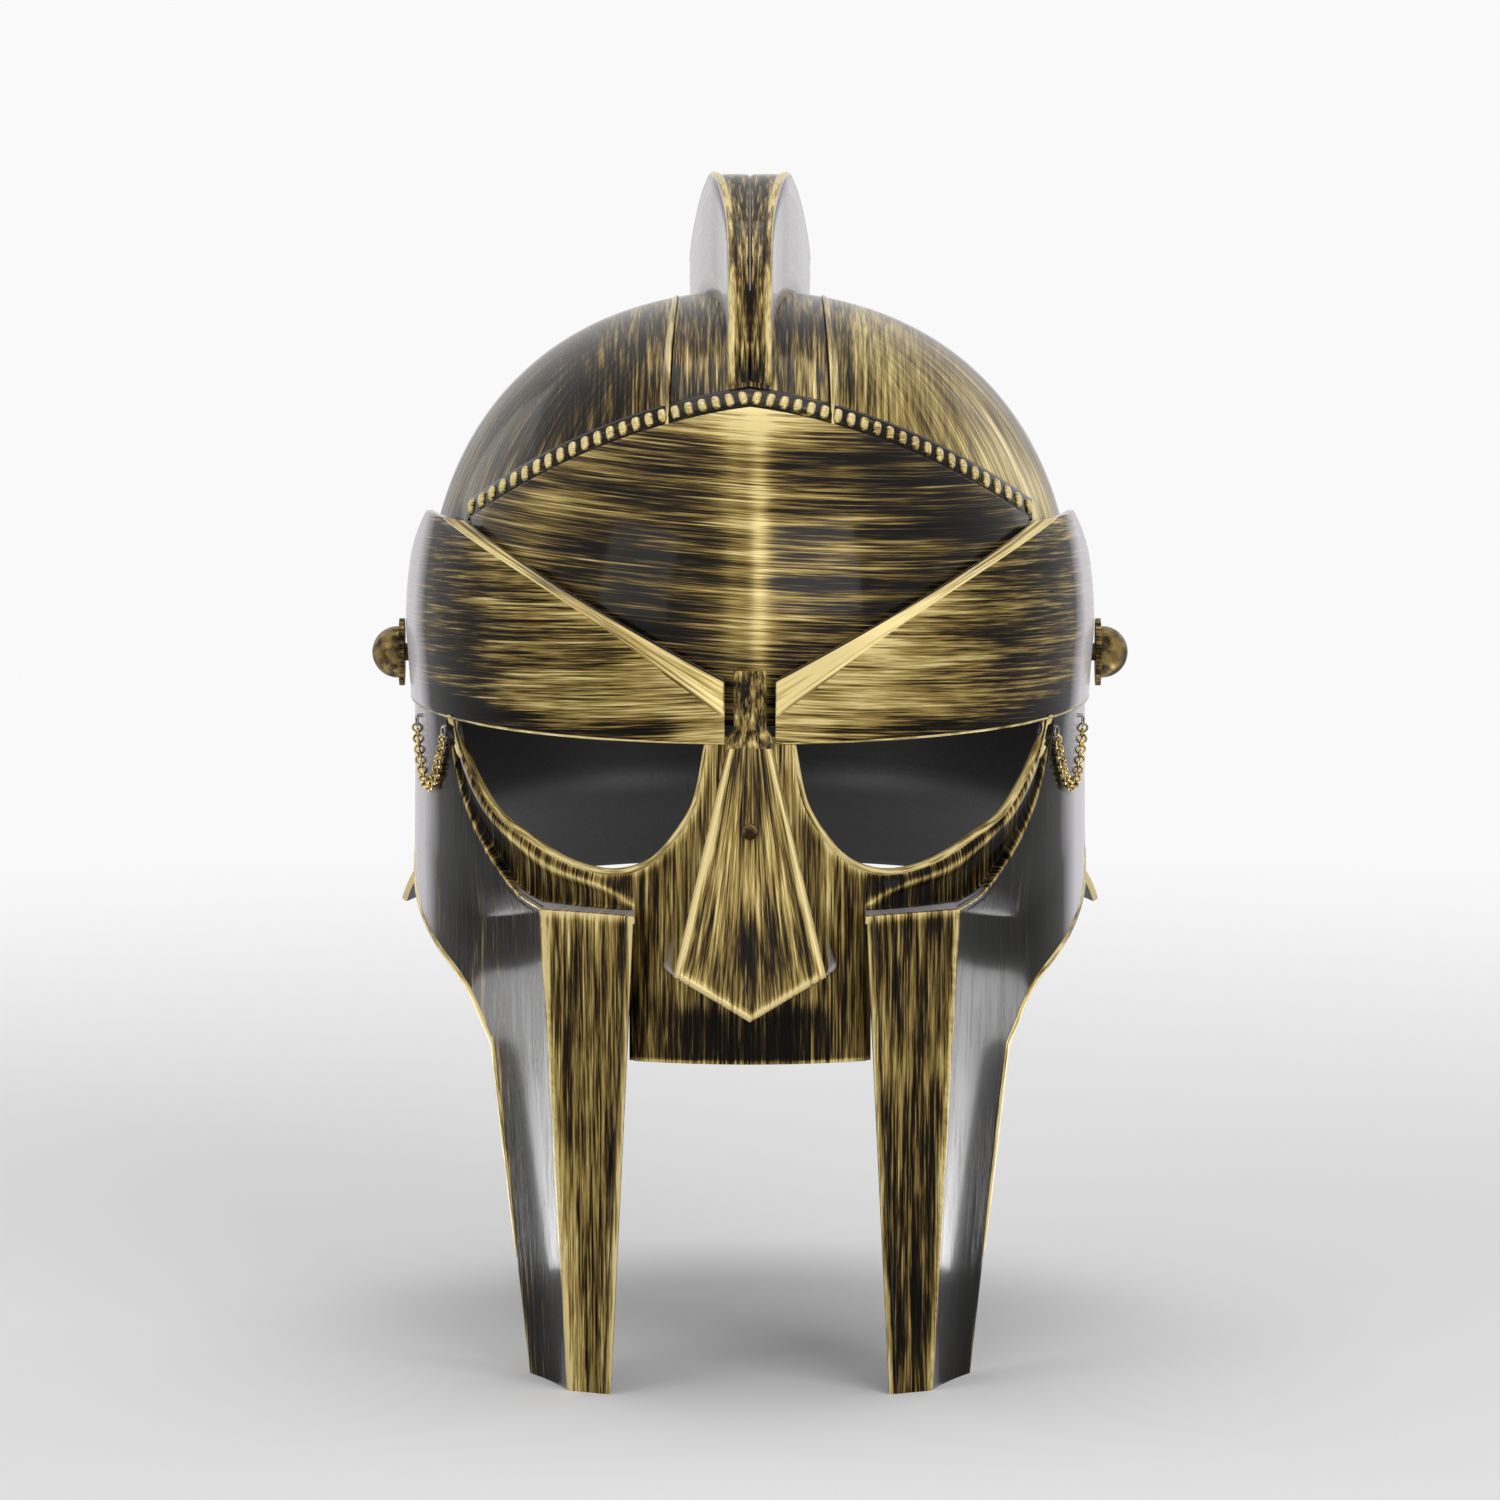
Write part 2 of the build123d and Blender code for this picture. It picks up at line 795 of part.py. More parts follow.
# The hooks that the chains hang from are set in holes in the mask's side.
chain_top_level = -16.0
chain_front_along = -56.0
chain_rear_along = -30.0
hook_radius = 1.5
hook_wire_radius = 0.25
hook_shank_diameter = 1.0
hook_hole_clearance = 0.1
hook_shank_level = chain_top_level + hook_radius


def mask_side_across(along, proud):
    """How far out the mask's outer side is at a place along it, brought out by an amount."""
    share = along / (mask_half_length + proud)
    return (mask_half_width + proud) * (1 - share**2) ** 0.5


rivet_diameter = 3.0
rivet_level = -35.0
rivet_clearance = 0.05

with BuildPart() as eye_openings:
    with BuildSketch(Plane.XZ):
        with BuildLine():
            eye_curve = Spline(eye_points)
            Polyline(
                eye_curve @ 1,
                (eye_points[-1][0], 0),
                (eye_points[0][0], 0),
                eye_curve @ 0,
            )
        make_face()
        mirror(about=Plane.YZ)
    extrude(amount=mask_half_length + overrun)

with BuildPart() as nose_bar:
    with BuildSketch(Plane.XZ):
        with BuildLine():
            Polyline(
                (nose_bar_half_width, nose_bar_top_level),
                (nose_bar_half_width, nose_tab_level),
                (v_foot_across, nose_tab_level),
                (v_foot_across, mask_top_level - mask_wall),
                (0, mask_top_level - mask_wall),
                (0, nose_bar_top_level),
                (nose_bar_half_width, nose_bar_top_level),
            )
        make_face()
        mirror(about=Plane.YZ)
    extrude(amount=nose_bar_front)
    with BuildSketch(Plane.XZ.offset(nose_bar_front - mask_wall)):
        Rectangle(2 * overrun, 2 * overrun)
    extrude(amount=-overrun - nose_bar_front, mode=Mode.SUBTRACT)

with BuildPart() as face_mask:
    add(mask_wings.part)
    add(mask_rim.part)
    add(mask_lobes.part)
    add(cheek_blade.part)
    mirror(cheek_blade.part, about=Plane.YZ)
    add(nose_block.part)
    add(eye_openings.part, mode=Mode.SUBTRACT)
    add(nose_hollow.part, mode=Mode.SUBTRACT)
    add(nose_bar.part)
    # The pivot holes, the nose rivet's hole and the chain hooks' holes.
    with BuildSketch(Plane.YZ):
        Circle(shank_diameter / 2 + shank_clearance)
        with Locations(
            (chain_front_along, hook_shank_level), (chain_rear_along, hook_shank_level)
        ):
            Circle(hook_shank_diameter / 2 + hook_hole_clearance)
    extrude(amount=mask_half_width + overrun, both=True, mode=Mode.SUBTRACT)
    with BuildSketch(Plane.XZ):
        with Locations((0, rivet_level)):
            Circle(rivet_diameter / 2 + rivet_clearance)
    extrude(amount=mask_half_length + overrun, mode=Mode.SUBTRACT)

# Nose rivet: a domed head on the guard, and a shank through the guard and the mask's nose.

rivet_head_diameter = 4.4
rivet_head_height = 1.2
rivet_grip = 1.0

guard_front = nose_front(rivet_level, guard_thickness)
mask_nose_back = nose_front(rivet_level, -mask_wall)

with BuildPart() as bored_guard:
    add(nose_guard.part)
    with BuildSketch(Plane.XZ):
        with Locations((0, rivet_level)):
            Circle(rivet_diameter / 2 + rivet_clearance)
    extrude(amount=mask_half_length + overrun, mode=Mode.SUBTRACT)
nose_guard = bored_guard

with BuildPart() as nose_rivet:
    head_seat = -nose_front(rivet_level - rivet_head_diameter / 2, guard_thickness)
    with BuildSketch(Plane.XZ.offset(-mask_nose_back - rivet_grip)):
        with Locations((0, rivet_level)):
            Circle(rivet_diameter / 2)
    extrude(amount=head_seat + mask_nose_back + rivet_grip)
    with BuildSketch(Plane.XZ.offset(head_seat)):
        with Locations((0, rivet_level)):
            Circle(rivet_head_diameter / 2)
    extrude(amount=rivet_head_height)
    fillet(faces().sort_by(Axis.Y)[0].edges(), rivet_head_height / 2)

# Pivots, left side: notched washer, ball-headed knob, thin washer and push nut on one axis.

washer_diameter = 19.0
washer_thickness = 1.5
washer_notches = 24
washer_notch_radius = 0.7
running_gap = 0.1
ball_radius = 7.3
ball_sink = 6.9
nut_diameter = 12.0
nut_thickness = 1.6
nut_stand_off = 0.3
thrust_diameter = 12.0
thrust_thickness = 0.5

washer_face_across = boss_face_across + running_gap
knob_face_across = washer_face_across + washer_thickness
nut_face_across = bowl_half_width_at(-nut_diameter / 2, -shell_wall) - nut_stand_off

with BuildPart() as pivot_washer_left:
    with BuildSketch(Plane.YZ.offset(washer_face_across)):
        Circle(washer_diameter / 2)
        with PolarLocations(washer_diameter / 2, washer_notches):
            Circle(washer_notch_radius, mode=Mode.SUBTRACT)
        Circle(shank_diameter / 2 + shank_clearance, mode=Mode.SUBTRACT)
    extrude(amount=washer_thickness)

with BuildPart() as knob_left:
    with Locations((knob_face_across + ball_radius - ball_sink, 0, 0)):
        Sphere(ball_radius)
    with BuildSketch(Plane.YZ.offset(knob_face_across)):
        Circle(2 * ball_radius)
    extrude(amount=-2 * ball_radius, mode=Mode.SUBTRACT)
    with BuildSketch(Plane.YZ.offset(nut_face_across - nut_thickness)):
        Circle(shank_diameter / 2)
    extrude(amount=knob_face_across - nut_face_across + nut_thickness)

with BuildPart() as thrust_washer_left:
    with BuildSketch(Plane.YZ.offset(bowl_half_width + running_gap)):
        Circle(thrust_diameter / 2)
        Circle(shank_diameter / 2 + shank_clearance, mode=Mode.SUBTRACT)
    extrude(amount=thrust_thickness)

with BuildPart() as push_nut_left:
    with BuildSketch(Plane.YZ.offset(nut_face_across)):
        Circle(nut_diameter / 2)
        Circle(shank_diameter / 2 + shank_clearance, mode=Mode.SUBTRACT)
    extrude(amount=-nut_thickness)

with BuildPart() as pivot_washer_right:
    mirror(pivot_washer_left.part, about=Plane.YZ)
with BuildPart() as knob_right:
    mirror(knob_left.part, about=Plane.YZ)
with BuildPart() as thrust_washer_right:
    mirror(thrust_washer_left.part, about=Plane.YZ)
with BuildPart() as push_nut_right:
    mirror(push_nut_left.part, about=Plane.YZ)

# Chains: rings linked in a swag below each knob, between two hooks set in the mask's side.

link_radius = 1.25
link_wire_radius = 0.33
link_slack = 0.1
hook_slack = 0.15
chain_sag = 15.5
chain_proud = 1.6
chain_steps = 200

chain_middle_along = (chain_front_along + chain_rear_along) / 2
chain_half_span = (chain_rear_along - chain_front_along) / 2


def chain_path_point(share):
    """A point on the left chain's middle line: a swag hung against the mask's side."""
    swing = 2 * share - 1
    along = chain_middle_along + chain_half_span * swing
    level = chain_top_level - hook_radius - chain_sag * (1 - swing**2)
    return Vector(mask_side_across(along, chain_proud), along, level)


chain_path = [chain_path_point(step / chain_steps) for step in range(chain_steps + 1)]
chain_runs = [0.0]
for start, end in zip(chain_path, chain_path[1:]):
    chain_runs.append(chain_runs[-1] + (end - start).length)

# The end rings hang on the hooks' lowest wire, so they start a little way down the path.
end_inset = link_radius - link_wire_radius - hook_wire_radius - hook_slack
link_pitch_limit = 2 * (link_radius - link_wire_radius) - link_slack
links_span = chain_runs[-1] - 2 * end_inset
link_gaps = 2 * (int(links_span / link_pitch_limit / 2) + 1)


def link_plane(number):
    """The plane of one ring: X along the chain, Z the ring's own axis, turned link by link."""
    run = end_inset + links_span * number / link_gaps
    step = next(place for place, length in enumerate(chain_runs) if length >= run)
    start, end = chain_path[step - 1], chain_path[step]
    part_way = (run - chain_runs[step - 1]) / (chain_runs[step] - chain_runs[step - 1])
    centre = start + (end - start) * part_way
    outward = Vector(
        centre.X / mask_half_width**2, centre.Y / mask_half_length**2, 0
    ).normalized()
    along = (end - start).normalized()
    ring_axis = along.cross(outward) if number % 2 == 0 else outward
    return Plane(centre, x_dir=along, z_dir=ring_axis)


with BuildPart() as chain_left:
    for number in range(link_gaps + 1):
        with Locations(Location(link_plane(number))):
            Torus(link_radius, link_wire_radius)

with BuildPart() as left_chain_hooks:
    for along in (chain_front_along, chain_rear_along):
        across = mask_side_across(along, chain_proud)
        outward = Vector(across / mask_half_width**2, along / mask_half_length**2, 0)
        ring_centre = Vector(across, along, chain_top_level)
        with Locations(Location(Plane(ring_centre, z_dir=outward))):
            Torus(hook_radius, hook_wire_radius)
        with BuildSketch(Plane.YZ.offset(mask_side_across(along, -mask_wall))):
            with Locations((along, hook_shank_level)):
                Circle(hook_shank_diameter / 2)
        extrude(amount=across - mask_side_across(along, -mask_wall))

with BuildPart() as chain_right:
    mirror(chain_left.part, about=Plane.YZ)

with BuildPart() as chain_hooks:
    add(left_chain_hooks.part)
    mirror(left_chain_hooks.part, about=Plane.YZ)

# Pads: soft linings that lie inside the bowl.

pad_gap = 0.3
pad_thickness = 9.0
crown_pad_radius = 46.0
front_pad_half_width = 48.0
front_pad_levels = (2.0, 36.0)
rear_pad_half_width = 52.0
rear_pad_levels = (-28.0, 30.0)
side_pad_half_length = 34.0
side_pad_levels = (14.0, 46.0)


def lining(block):
    """The part of a block that lies in the pads' layer, just inside the bowl."""
    with BuildPart() as layer:
        add(block)
        add(bowl(-shell_wall - pad_gap, -shell_wall - pad_gap), mode=Mode.INTERSECT)
        inner = -shell_wall - pad_gap - pad_thickness
        add(bowl(inner, inner), mode=Mode.SUBTRACT)
    return layer.part


def pad_block(half_width, levels, low_along, high_along, centre_across):
    """A block between two levels and two places along, centred at a place across."""
    with BuildPart() as block:
        with BuildSketch(Plane.XY.offset(levels[0])):
            with Locations((centre_across, (low_along + high_along) / 2)):
                Rectangle(2 * half_width, high_along - low_along)
        extrude(amount=levels[1] - levels[0])
        fillet(edges().filter_by(Axis.Y if centre_across == 0 else Axis.X), pad_thickness)
    return block.part


with BuildPart() as crown_block:
    with BuildSketch(Plane.XY.offset(bowl_widest_level)):
        Circle(crown_pad_radius)
    extrude(amount=bowl_rise)

# The crown pad has a pocket round each crest screw's head.
with BuildPart() as crown_pad:
    add(lining(crown_block.part))
    for across, along in screw_places:
        seat = bowl_top_level(across, along, -shell_wall)
        with BuildSketch(Plane.XY.offset(seat - 2 * screw_head_height - pad_gap)):
            with Locations((across, along), (-across, along)):
                Circle(screw_head_diameter / 2 + pad_gap)
        extrude(amount=bowl_rise, mode=Mode.SUBTRACT)
with BuildPart() as front_pad:
    add(lining(pad_block(front_pad_half_width, front_pad_levels, -bowl_half_length, 0, 0)))
with BuildPart() as rear_pad:
    add(lining(pad_block(rear_pad_half_width, rear_pad_levels, 0, bowl_half_length, 0)))
with BuildPart() as side_pad_left:
    add(
        lining(
            pad_block(
                bowl_half_width / 2,
                side_pad_levels,
                -side_pad_half_length,
                side_pad_half_length,
                bowl_half_width,
            )
        )
    )
with BuildPart() as side_pad_right:
    mirror(side_pad_left.part, about=Plane.YZ)

# Each finished piece is named and written.

pieces = {
    "skull_shell": skull_shell,
    "forehead_plate": forehead_plate,
    "beaded_band": beaded_band,
    "crest_half_left": crest_half_left,
    "crest_half_right": crest_half_right,
    "crest_screws": crest_screws,
    "brow_plate_left": brow_plate_left,
    "brow_plate_right": brow_plate_right,
    "brow_rim_left": brow_rim_left,
    "brow_rim_right": brow_rim_right,
    "face_mask": face_mask,
    "nose_guard": nose_guard,
    "nose_rivet": nose_rivet,
    "pivot_washer_left": pivot_washer_left,
    "pivot_washer_right": pivot_washer_right,
    "knob_left": knob_left,
    "knob_right": knob_right,
    "thrust_washer_left": thrust_washer_left,
    "thrust_washer_right": thrust_washer_right,
    "push_nut_left": push_nut_left,
    "push_nut_right": push_nut_right,
    "chain_left": chain_left,
    "chain_right": chain_right,
    "chain_hooks": chain_hooks,
    "crown_pad": crown_pad,
    "front_pad": front_pad,
    "rear_pad": rear_pad,
    "side_pad_left": side_pad_left,
    "side_pad_right": side_pad_right,
}
for name, piece in pieces.items():
    piece.part.label = name
    export_step(piece.part, f"parts/{name}.step")
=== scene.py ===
"""A crested gladiator helmet whose face mask lifts on two side knobs, dressed for its picture.

Sizes are worked out in millimetres and written to the meshes in metres. +Z is up, the face
looks along -Y, and left and right are the wearer's, so left is +X.
"""

import math

import bmesh
import bpy
import numpy as np
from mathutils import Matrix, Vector


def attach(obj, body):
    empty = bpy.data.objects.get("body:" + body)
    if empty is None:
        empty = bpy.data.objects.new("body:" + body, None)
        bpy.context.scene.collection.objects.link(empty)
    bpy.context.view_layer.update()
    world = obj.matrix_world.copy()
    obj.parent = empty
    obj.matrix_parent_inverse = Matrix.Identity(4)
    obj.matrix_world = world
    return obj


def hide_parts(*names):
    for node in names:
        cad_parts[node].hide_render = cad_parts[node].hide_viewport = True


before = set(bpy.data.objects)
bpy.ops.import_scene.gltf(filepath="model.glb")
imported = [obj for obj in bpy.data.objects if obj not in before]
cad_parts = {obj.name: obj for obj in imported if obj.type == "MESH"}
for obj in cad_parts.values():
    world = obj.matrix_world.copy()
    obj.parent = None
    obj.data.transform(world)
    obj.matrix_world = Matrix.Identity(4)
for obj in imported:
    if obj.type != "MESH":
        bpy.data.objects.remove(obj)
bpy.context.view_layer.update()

# Skull shell: the moulded bowl that the helmet is built on, an oval dome with a skirt that
# flares at the neck. It is dark gloss plastic, dry-brushed with gold paint from the crown down.

MILLIMETRE = 0.001
SHELL_WALL = 2.0
DOME_HALF_WIDTH, DOME_HALF_LENGTH = 91.5, 110.0
DOME_WIDEST_LEVEL, DOME_RISE = 8.0, 94.0
DOME_FULLNESS = 0.613
DOME_STEPS, BEND_STEPS = 160, 12
SKIRT_DRAFT = math.tan(math.radians(4.3))
SKIRT_BEND_LEVEL, SKIRT_BEND_REACH, BEND_INTO_NECK = -50.0, 5.0, 0.2
NECK_RIM = (104.0, -75.0)
FACE_EDGE_LEVEL = -8.0
SKIRT_EDGE = [(-16.0, -8.0), (-10.2, -28.1), (3.0, -52.2), (34.0, -75.0)]
SHELL_COLUMNS, SHELL_ROWS, CUT_STEPS = 301, 91, 1500
CUT_RUB = 4.0
GRAIN_ROUGHNESS = 0.62
HAIR_SHARE, BROAD_SHARE, PATCH_SHARE, GOLD_SHIFT_SHARE = 0.55, 0.60, 0.50, 0.60
# The painted reflection: at most this share of a pale grey is mixed into paint seen edge-on, and
# that grey.
PAINTED_REFLECTION_MOST, PAINTED_REFLECTION_COLOUR = 0.85, (0.74, 0.70, 0.74, 1)


def smoothstep(share):
    """3s^2 - 2s^3 of a share held between nought and one: a soft step."""
    held = np.clip(share, 0, 1)
    return held * held * (3 - 2 * held)


def apart(points, others):
    """The distances between the points of two grids."""
    return np.linalg.norm(points - others, axis=-1)


def running(lengths):
    """Running totals of lengths, from nought."""
    return np.concatenate([[0], np.cumsum(lengths)])


def lengths_along(line):
    """The length of a line from its start to each of its points."""
    return running(apart(line[1:], line[:-1]))


def row_shares(count):
    """Shares from nought to one, one for each row of a grid."""
    return np.linspace(0, 1, count)[:, None]


def part_way(start, end, share):
    """The place at a share of the way from a start to an end."""
    return start + (end - start) * share


def rounded(start, corner, end, turn):
    """The quadratic curve that leaves the start and meets the end, each towards the corner."""
    return (1 - turn) ** 2 * start + 2 * turn * (1 - turn) * corner + turn**2 * end


def stroke_places(points):
    """Where the brush ran, in millimetres: the mean length along the rails, and the mean
    length across them, so that strokes follow the rails and fan out with them."""
    along = running(apart(points[:, 1:], points[:, :-1]).mean(axis=0))
    across = running(apart(points[1:], points[:-1]).mean(axis=1))
    return np.stack(np.broadcast_arrays(along[None, :], across[:, None]), axis=2)


def surface(name, grids, inside=(0, 10, -20), weld=0.02):
    """A mesh of one or more grids of points, each (points, stroke places or None, gold share
    or None), joined by quads, welded where they meet and turned to face away from inside."""
    corners, faces, places, golds, start = [], [], [], [], 0
    for points, strokes, gold in grids:
        rows, columns = points.shape[:2]
        strokes = stroke_places(points) if strokes is None else strokes
        gold = 0.0 if gold is None else gold
        index = start + np.arange(rows * columns).reshape(rows, columns)
        quads = np.stack(
            [index[:-1, :-1], index[:-1, 1:], index[1:, 1:], index[1:, :-1]], axis=2
        )
        corners.append(points.reshape(-1, 3))
        faces.append(quads.reshape(-1, 4))
        places.append(np.broadcast_to(strokes, (rows, columns, 2)).reshape(-1, 2))
        golds.append(np.broadcast_to(gold, (rows, columns)).reshape(-1))
        start += rows * columns
    corners, faces = np.vstack(corners), np.vstack(faces)
    places, golds = np.vstack(places), np.concatenate(golds)
    centres = corners[faces].mean(axis=1)
    slants = np.cross(corners[faces[:, 2]] - corners[faces[:, 0]],
                      corners[faces[:, 3]] - corners[faces[:, 1]])
    if (slants * (centres - np.asarray(inside))).sum() < 0:
        faces = faces[:, ::-1]
    mesh = bpy.data.meshes.new(name)
    mesh.vertices.add(len(corners))
    mesh.vertices.foreach_set("co", (corners * MILLIMETRE).ravel())
    mesh.loops.add(faces.size)
    mesh.loops.foreach_set("vertex_index", faces.ravel())
    mesh.polygons.add(len(faces))
    mesh.polygons.foreach_set("loop_start", np.arange(len(faces)) * 4)
    mesh.update(calc_edges=True)
    uv = mesh.uv_layers.new(name="strokes")
    uv.data.foreach_set("uv", places[faces.ravel()].ravel())
    # The gold share; on some pieces it also holds painted highlights and painted shade.
    mesh.attributes.new("gold", "FLOAT", "POINT").data.foreach_set("value", golds)
    work = bmesh.new()
    work.from_mesh(mesh)
    bmesh.ops.remove_doubles(work, verts=work.verts, dist=weld * MILLIMETRE)
    work.to_mesh(mesh)
    work.free()
    mesh.shade_smooth()
    piece = bpy.data.objects.new(name, mesh)
    bpy.context.scene.collection.objects.link(piece)
    return piece


def give_finishes(piece, *finishes):
    """Puts finishes on a piece, in the order of its faces' numbers."""
    for finish in finishes:
        piece.data.materials.append(finish)


def give_wall(piece, wall, finishes, edge_round=0.5):
    """Thickens a sheet inwards and rounds the edges that this makes. The finishes are those of
    the outside, the edges and the inside."""
    give_finishes(piece, *finishes)
    solid = piece.modifiers.new("wall", "SOLIDIFY")
    solid.thickness = wall * MILLIMETRE
    solid.offset = -1
    solid.material_offset = 2
    solid.material_offset_rim = 1
    if edge_round:
        bevel = piece.modifiers.new("edge", "BEVEL")
        bevel.width = edge_round * MILLIMETRE
        bevel.segments = 2
        bevel.limit_method = "ANGLE"
        bevel.angle_limit = math.radians(50)


def new_finish(name):
    """An empty material, with its node tree and its shader."""
    material = bpy.data.materials.new(name)
    material.use_nodes = True
    return material, material.node_tree, material.node_tree.nodes["Principled BSDF"]


def fill_sockets(tree, node, sockets):
    """Gives each socket, by name or number, a value or another node's output."""
    for key, value in sockets.items():
        if isinstance(value, bpy.types.NodeSocket):
            tree.links.new(value, node.inputs[key])
        else:
            node.inputs[key].default_value = value


def add_node(tree, kind, sockets, **settings):
    """A shader node, with its settings made before its sockets are filled."""
    node = tree.nodes.new("ShaderNode" + kind)
    for key, value in settings.items():
        setattr(node, key, value)
    fill_sockets(tree, node, sockets)
    return node


def object_places(tree):
    """Places in the helmet's own frame."""
    return add_node(tree, "TexCoord", {}).outputs["Object"]


def stroke_map(tree):
    """Places along and across the brush strokes, in millimetres."""
    return add_node(tree, "UVMap", {}, uv_map="strokes").outputs["UV"]


def noise(tree, places, scale, detail, roughness=0.5):
    """Cloudy noise over places."""
    sockets = {"Vector": places, "Scale": scale, "Detail": detail, "Roughness": roughness}
    return add_node(tree, "TexNoise", sockets).outputs["Fac"]


def worked(tree, operation, *values):
    """The outcome of one sum on its values."""
    return add_node(tree, "Math", dict(enumerate(values)), operation=operation).outputs[0]


def ranged(tree, value, start=(0.0, 1.0), end=(0.0, 1.0), **settings):
    """A value's share of the way through the start range, read off in the end range."""
    sockets = {"Value": value, "From Min": start[0], "From Max": start[1],
               "To Min": end[0], "To Max": end[1]}
    return add_node(tree, "MapRange", sockets, **settings).outputs["Result"]


def shaded(tree, value, stops):
    """The colour at a value, read between stops that are each a place and a colour."""
    ramp = add_node(tree, "ValToRGB", {"Fac": value})
    elements = ramp.color_ramp.elements
    elements[0].position, elements[1].position = stops[0][0], stops[-1][0]
    for position, colour in stops[1:-1]:
        elements.new(position)
    for element, (position, colour) in zip(elements, stops):
        element.position, element.color = position, (*colour, 1)
    return ramp.outputs["Color"]


def blended(tree, share, first, second, kind="RGBA"):
    """The first colour or number at no share, and the second at a whole one."""
    sockets = {"Factor": share, "A": first, "B": second}
    return add_node(tree, "Mix", sockets, data_type=kind).outputs["Result"]


def give_bump(tree, shader, height, strength, depth):
    """Small dents and ridges, to a depth in millimetres."""
    sockets = {"Strength": strength, "Distance": depth * MILLIMETRE, "Height": height}
    fill_sockets(tree, shader, {"Normal": add_node(tree, "Bump", sockets).outputs["Normal"]})


def brushed_gold(name, cover, seed, length=26.0, width=0.75, pale=1.0, gloss=0.7,
                 painted_reflection_range=(0.86, 1.0), over_top=None):
    """Dark gloss plastic under dry-brushed gold: three noises drawn out along the strokes,
    shifted by broad patches and by the piece's own gold share, pick dark, gold or pale gold.
    Where the surface turns edge-on to the eye, a pale grey is mixed into the paint's colour, a
    painted reflection of the white room in the clear coat. Strokes over the top run from front to
    back out to one width, and follow the rails past another.
    Cover adds gold over the whole piece, and the seed moves the strokes."""
    material, tree, paint = new_finish(name)
    places, where = stroke_map(tree), object_places(tree)
    # The piece's own gold share, which on some pieces also holds painted highlights and painted
    # shade.
    gold_shift = add_node(tree, "Attribute", {}, attribute_name="gold").outputs["Fac"]
    if over_top is not None:
        across = add_node(tree, "SeparateXYZ", {0: where}).outputs["X"]
        side_share = ranged(tree, worked(tree, "ABSOLUTE", across),
                            [width_there * MILLIMETRE for width_there in over_top])

    def drawn_noise(detail, **sockets):
        """Noise over places that a mapping draws out."""
        drawn = add_node(tree, "Mapping", sockets).outputs["Vector"]
        return noise(tree, drawn, 1.0, detail, GRAIN_ROUGHNESS)

    def streaks(along, across, detail):
        """Noise drawn out along the strokes to the given lengths in millimetres."""
        on_side = drawn_noise(detail, Vector=places, Location=(seed, seed * 3, seed),
                              Scale=(1 / along, 1 / across, 1))
        if over_top is None:
            return on_side
        on_top = drawn_noise(detail, Vector=where,
                             Scale=(1000 / across, 1000 / along, 1000 / along))
        return blended(tree, side_share, on_top, on_side, "FLOAT")

    total = streaks(length, width, 3.0)
    for layer, weight in (
        (streaks(length * 0.6, width * 0.45, 2.0), HAIR_SHARE),
        (streaks(length * 2.2, width * 5.0, 2.0), BROAD_SHARE),
        (noise(tree, where, 22.0, 2.0), PATCH_SHARE),
        (gold_shift, GOLD_SHIFT_SHARE),
    ):
        total = worked(tree, "MULTIPLY_ADD", layer, weight, total)
    middle = 0.5 * (1 + HAIR_SHARE + BROAD_SHARE + PATCH_SHARE) - cover
    gold = ranged(tree, total, (middle - 0.28, middle + 0.32))
    colour = shaded(tree, gold, [
        (0.0, (0.0035, 0.003, 0.002)),
        (0.32, (0.011, 0.008, 0.0045)),
        (0.46, (0.064, 0.040, 0.012)),
        (0.62, (0.230, 0.155, 0.044)),
        (0.82, (0.42 * pale, 0.312 * pale, 0.100 * pale)),
        (1.0, (0.72 * pale, 0.585 * pale, 0.265 * pale)),
    ])
    # Painted reflection: the colour is mixed towards a pale grey as the surface turns edge-on to
    # the eye, standing in for the white room seen in the clear coat.
    edge_on = add_node(tree, "LayerWeight", {"Blend": 0.5}).outputs["Facing"]
    painted_reflection_share = ranged(tree, edge_on, painted_reflection_range, (0.0, PAINTED_REFLECTION_MOST))
    fill_sockets(tree, paint, {
        "Base Color": blended(tree, painted_reflection_share, colour, PAINTED_REFLECTION_COLOUR),
        "Roughness": ranged(tree, gold, end=(0.22, 0.42)),
        "Metallic": ranged(tree, gold, (0.45, 0.75), (0.0, 0.35)),
        "Specular IOR Level": 0.02,
        "Coat Weight": gloss,
        "Coat IOR": 1.25,
        "Coat Roughness": 0.10,
    })
    give_bump(tree, paint, gold, 0.25, 0.4)
    return material


def bare_plastic(name):
    """The unpainted inside of a moulding: near-black plastic with a fine moulded grain."""
    material, tree, plastic = new_finish(name)
    grain = noise(tree, object_places(tree), 900.0, 3.0)
    fill_sockets(tree, plastic, {
        "Base Color": (0.012, 0.011, 0.010, 1),
        "Roughness": ranged(tree, grain, end=(0.42, 0.62)),
    })
    give_bump(tree, plastic, grain, 0.3, 0.2)
    return material


def dome_profile(outset):
    """The grown bowl's outline as half widths and levels from the crown down: the Bezier dome,
    the drafted skirt, a soft bend and the flared neck."""
    turn = np.linspace(1, 0, DOME_STEPS)
    back = 1 - turn
    wide = back**3 + 3 * back**2 * turn + 3 * back * turn**2 * DOME_FULLNESS
    high = 3 * back**2 * turn * DOME_FULLNESS + 3 * back * turn**2 + turn**3
    side = DOME_HALF_WIDTH + outset
    dome = np.stack([side * wide, DOME_WIDEST_LEVEL + (DOME_RISE + outset) * high], axis=1)

    def skirt(level):
        return np.array([side - (DOME_WIDEST_LEVEL - level) * SKIRT_DRAFT, level])

    rim = np.array([NECK_RIM[0] + outset, NECK_RIM[1]])
    bend = skirt(SKIRT_BEND_LEVEL)
    turn = row_shares(BEND_STEPS)
    above = skirt(SKIRT_BEND_LEVEL + SKIRT_BEND_REACH)
    curve = rounded(above, bend, part_way(bend, rim, BEND_INTO_NECK), turn)
    return np.vstack([dome, curve, rim])


def dome_stretch(outset, front_outset):
    """How many times longer than wide the grown bowl is."""
    return (DOME_HALF_LENGTH + front_outset) / (DOME_HALF_WIDTH + outset)


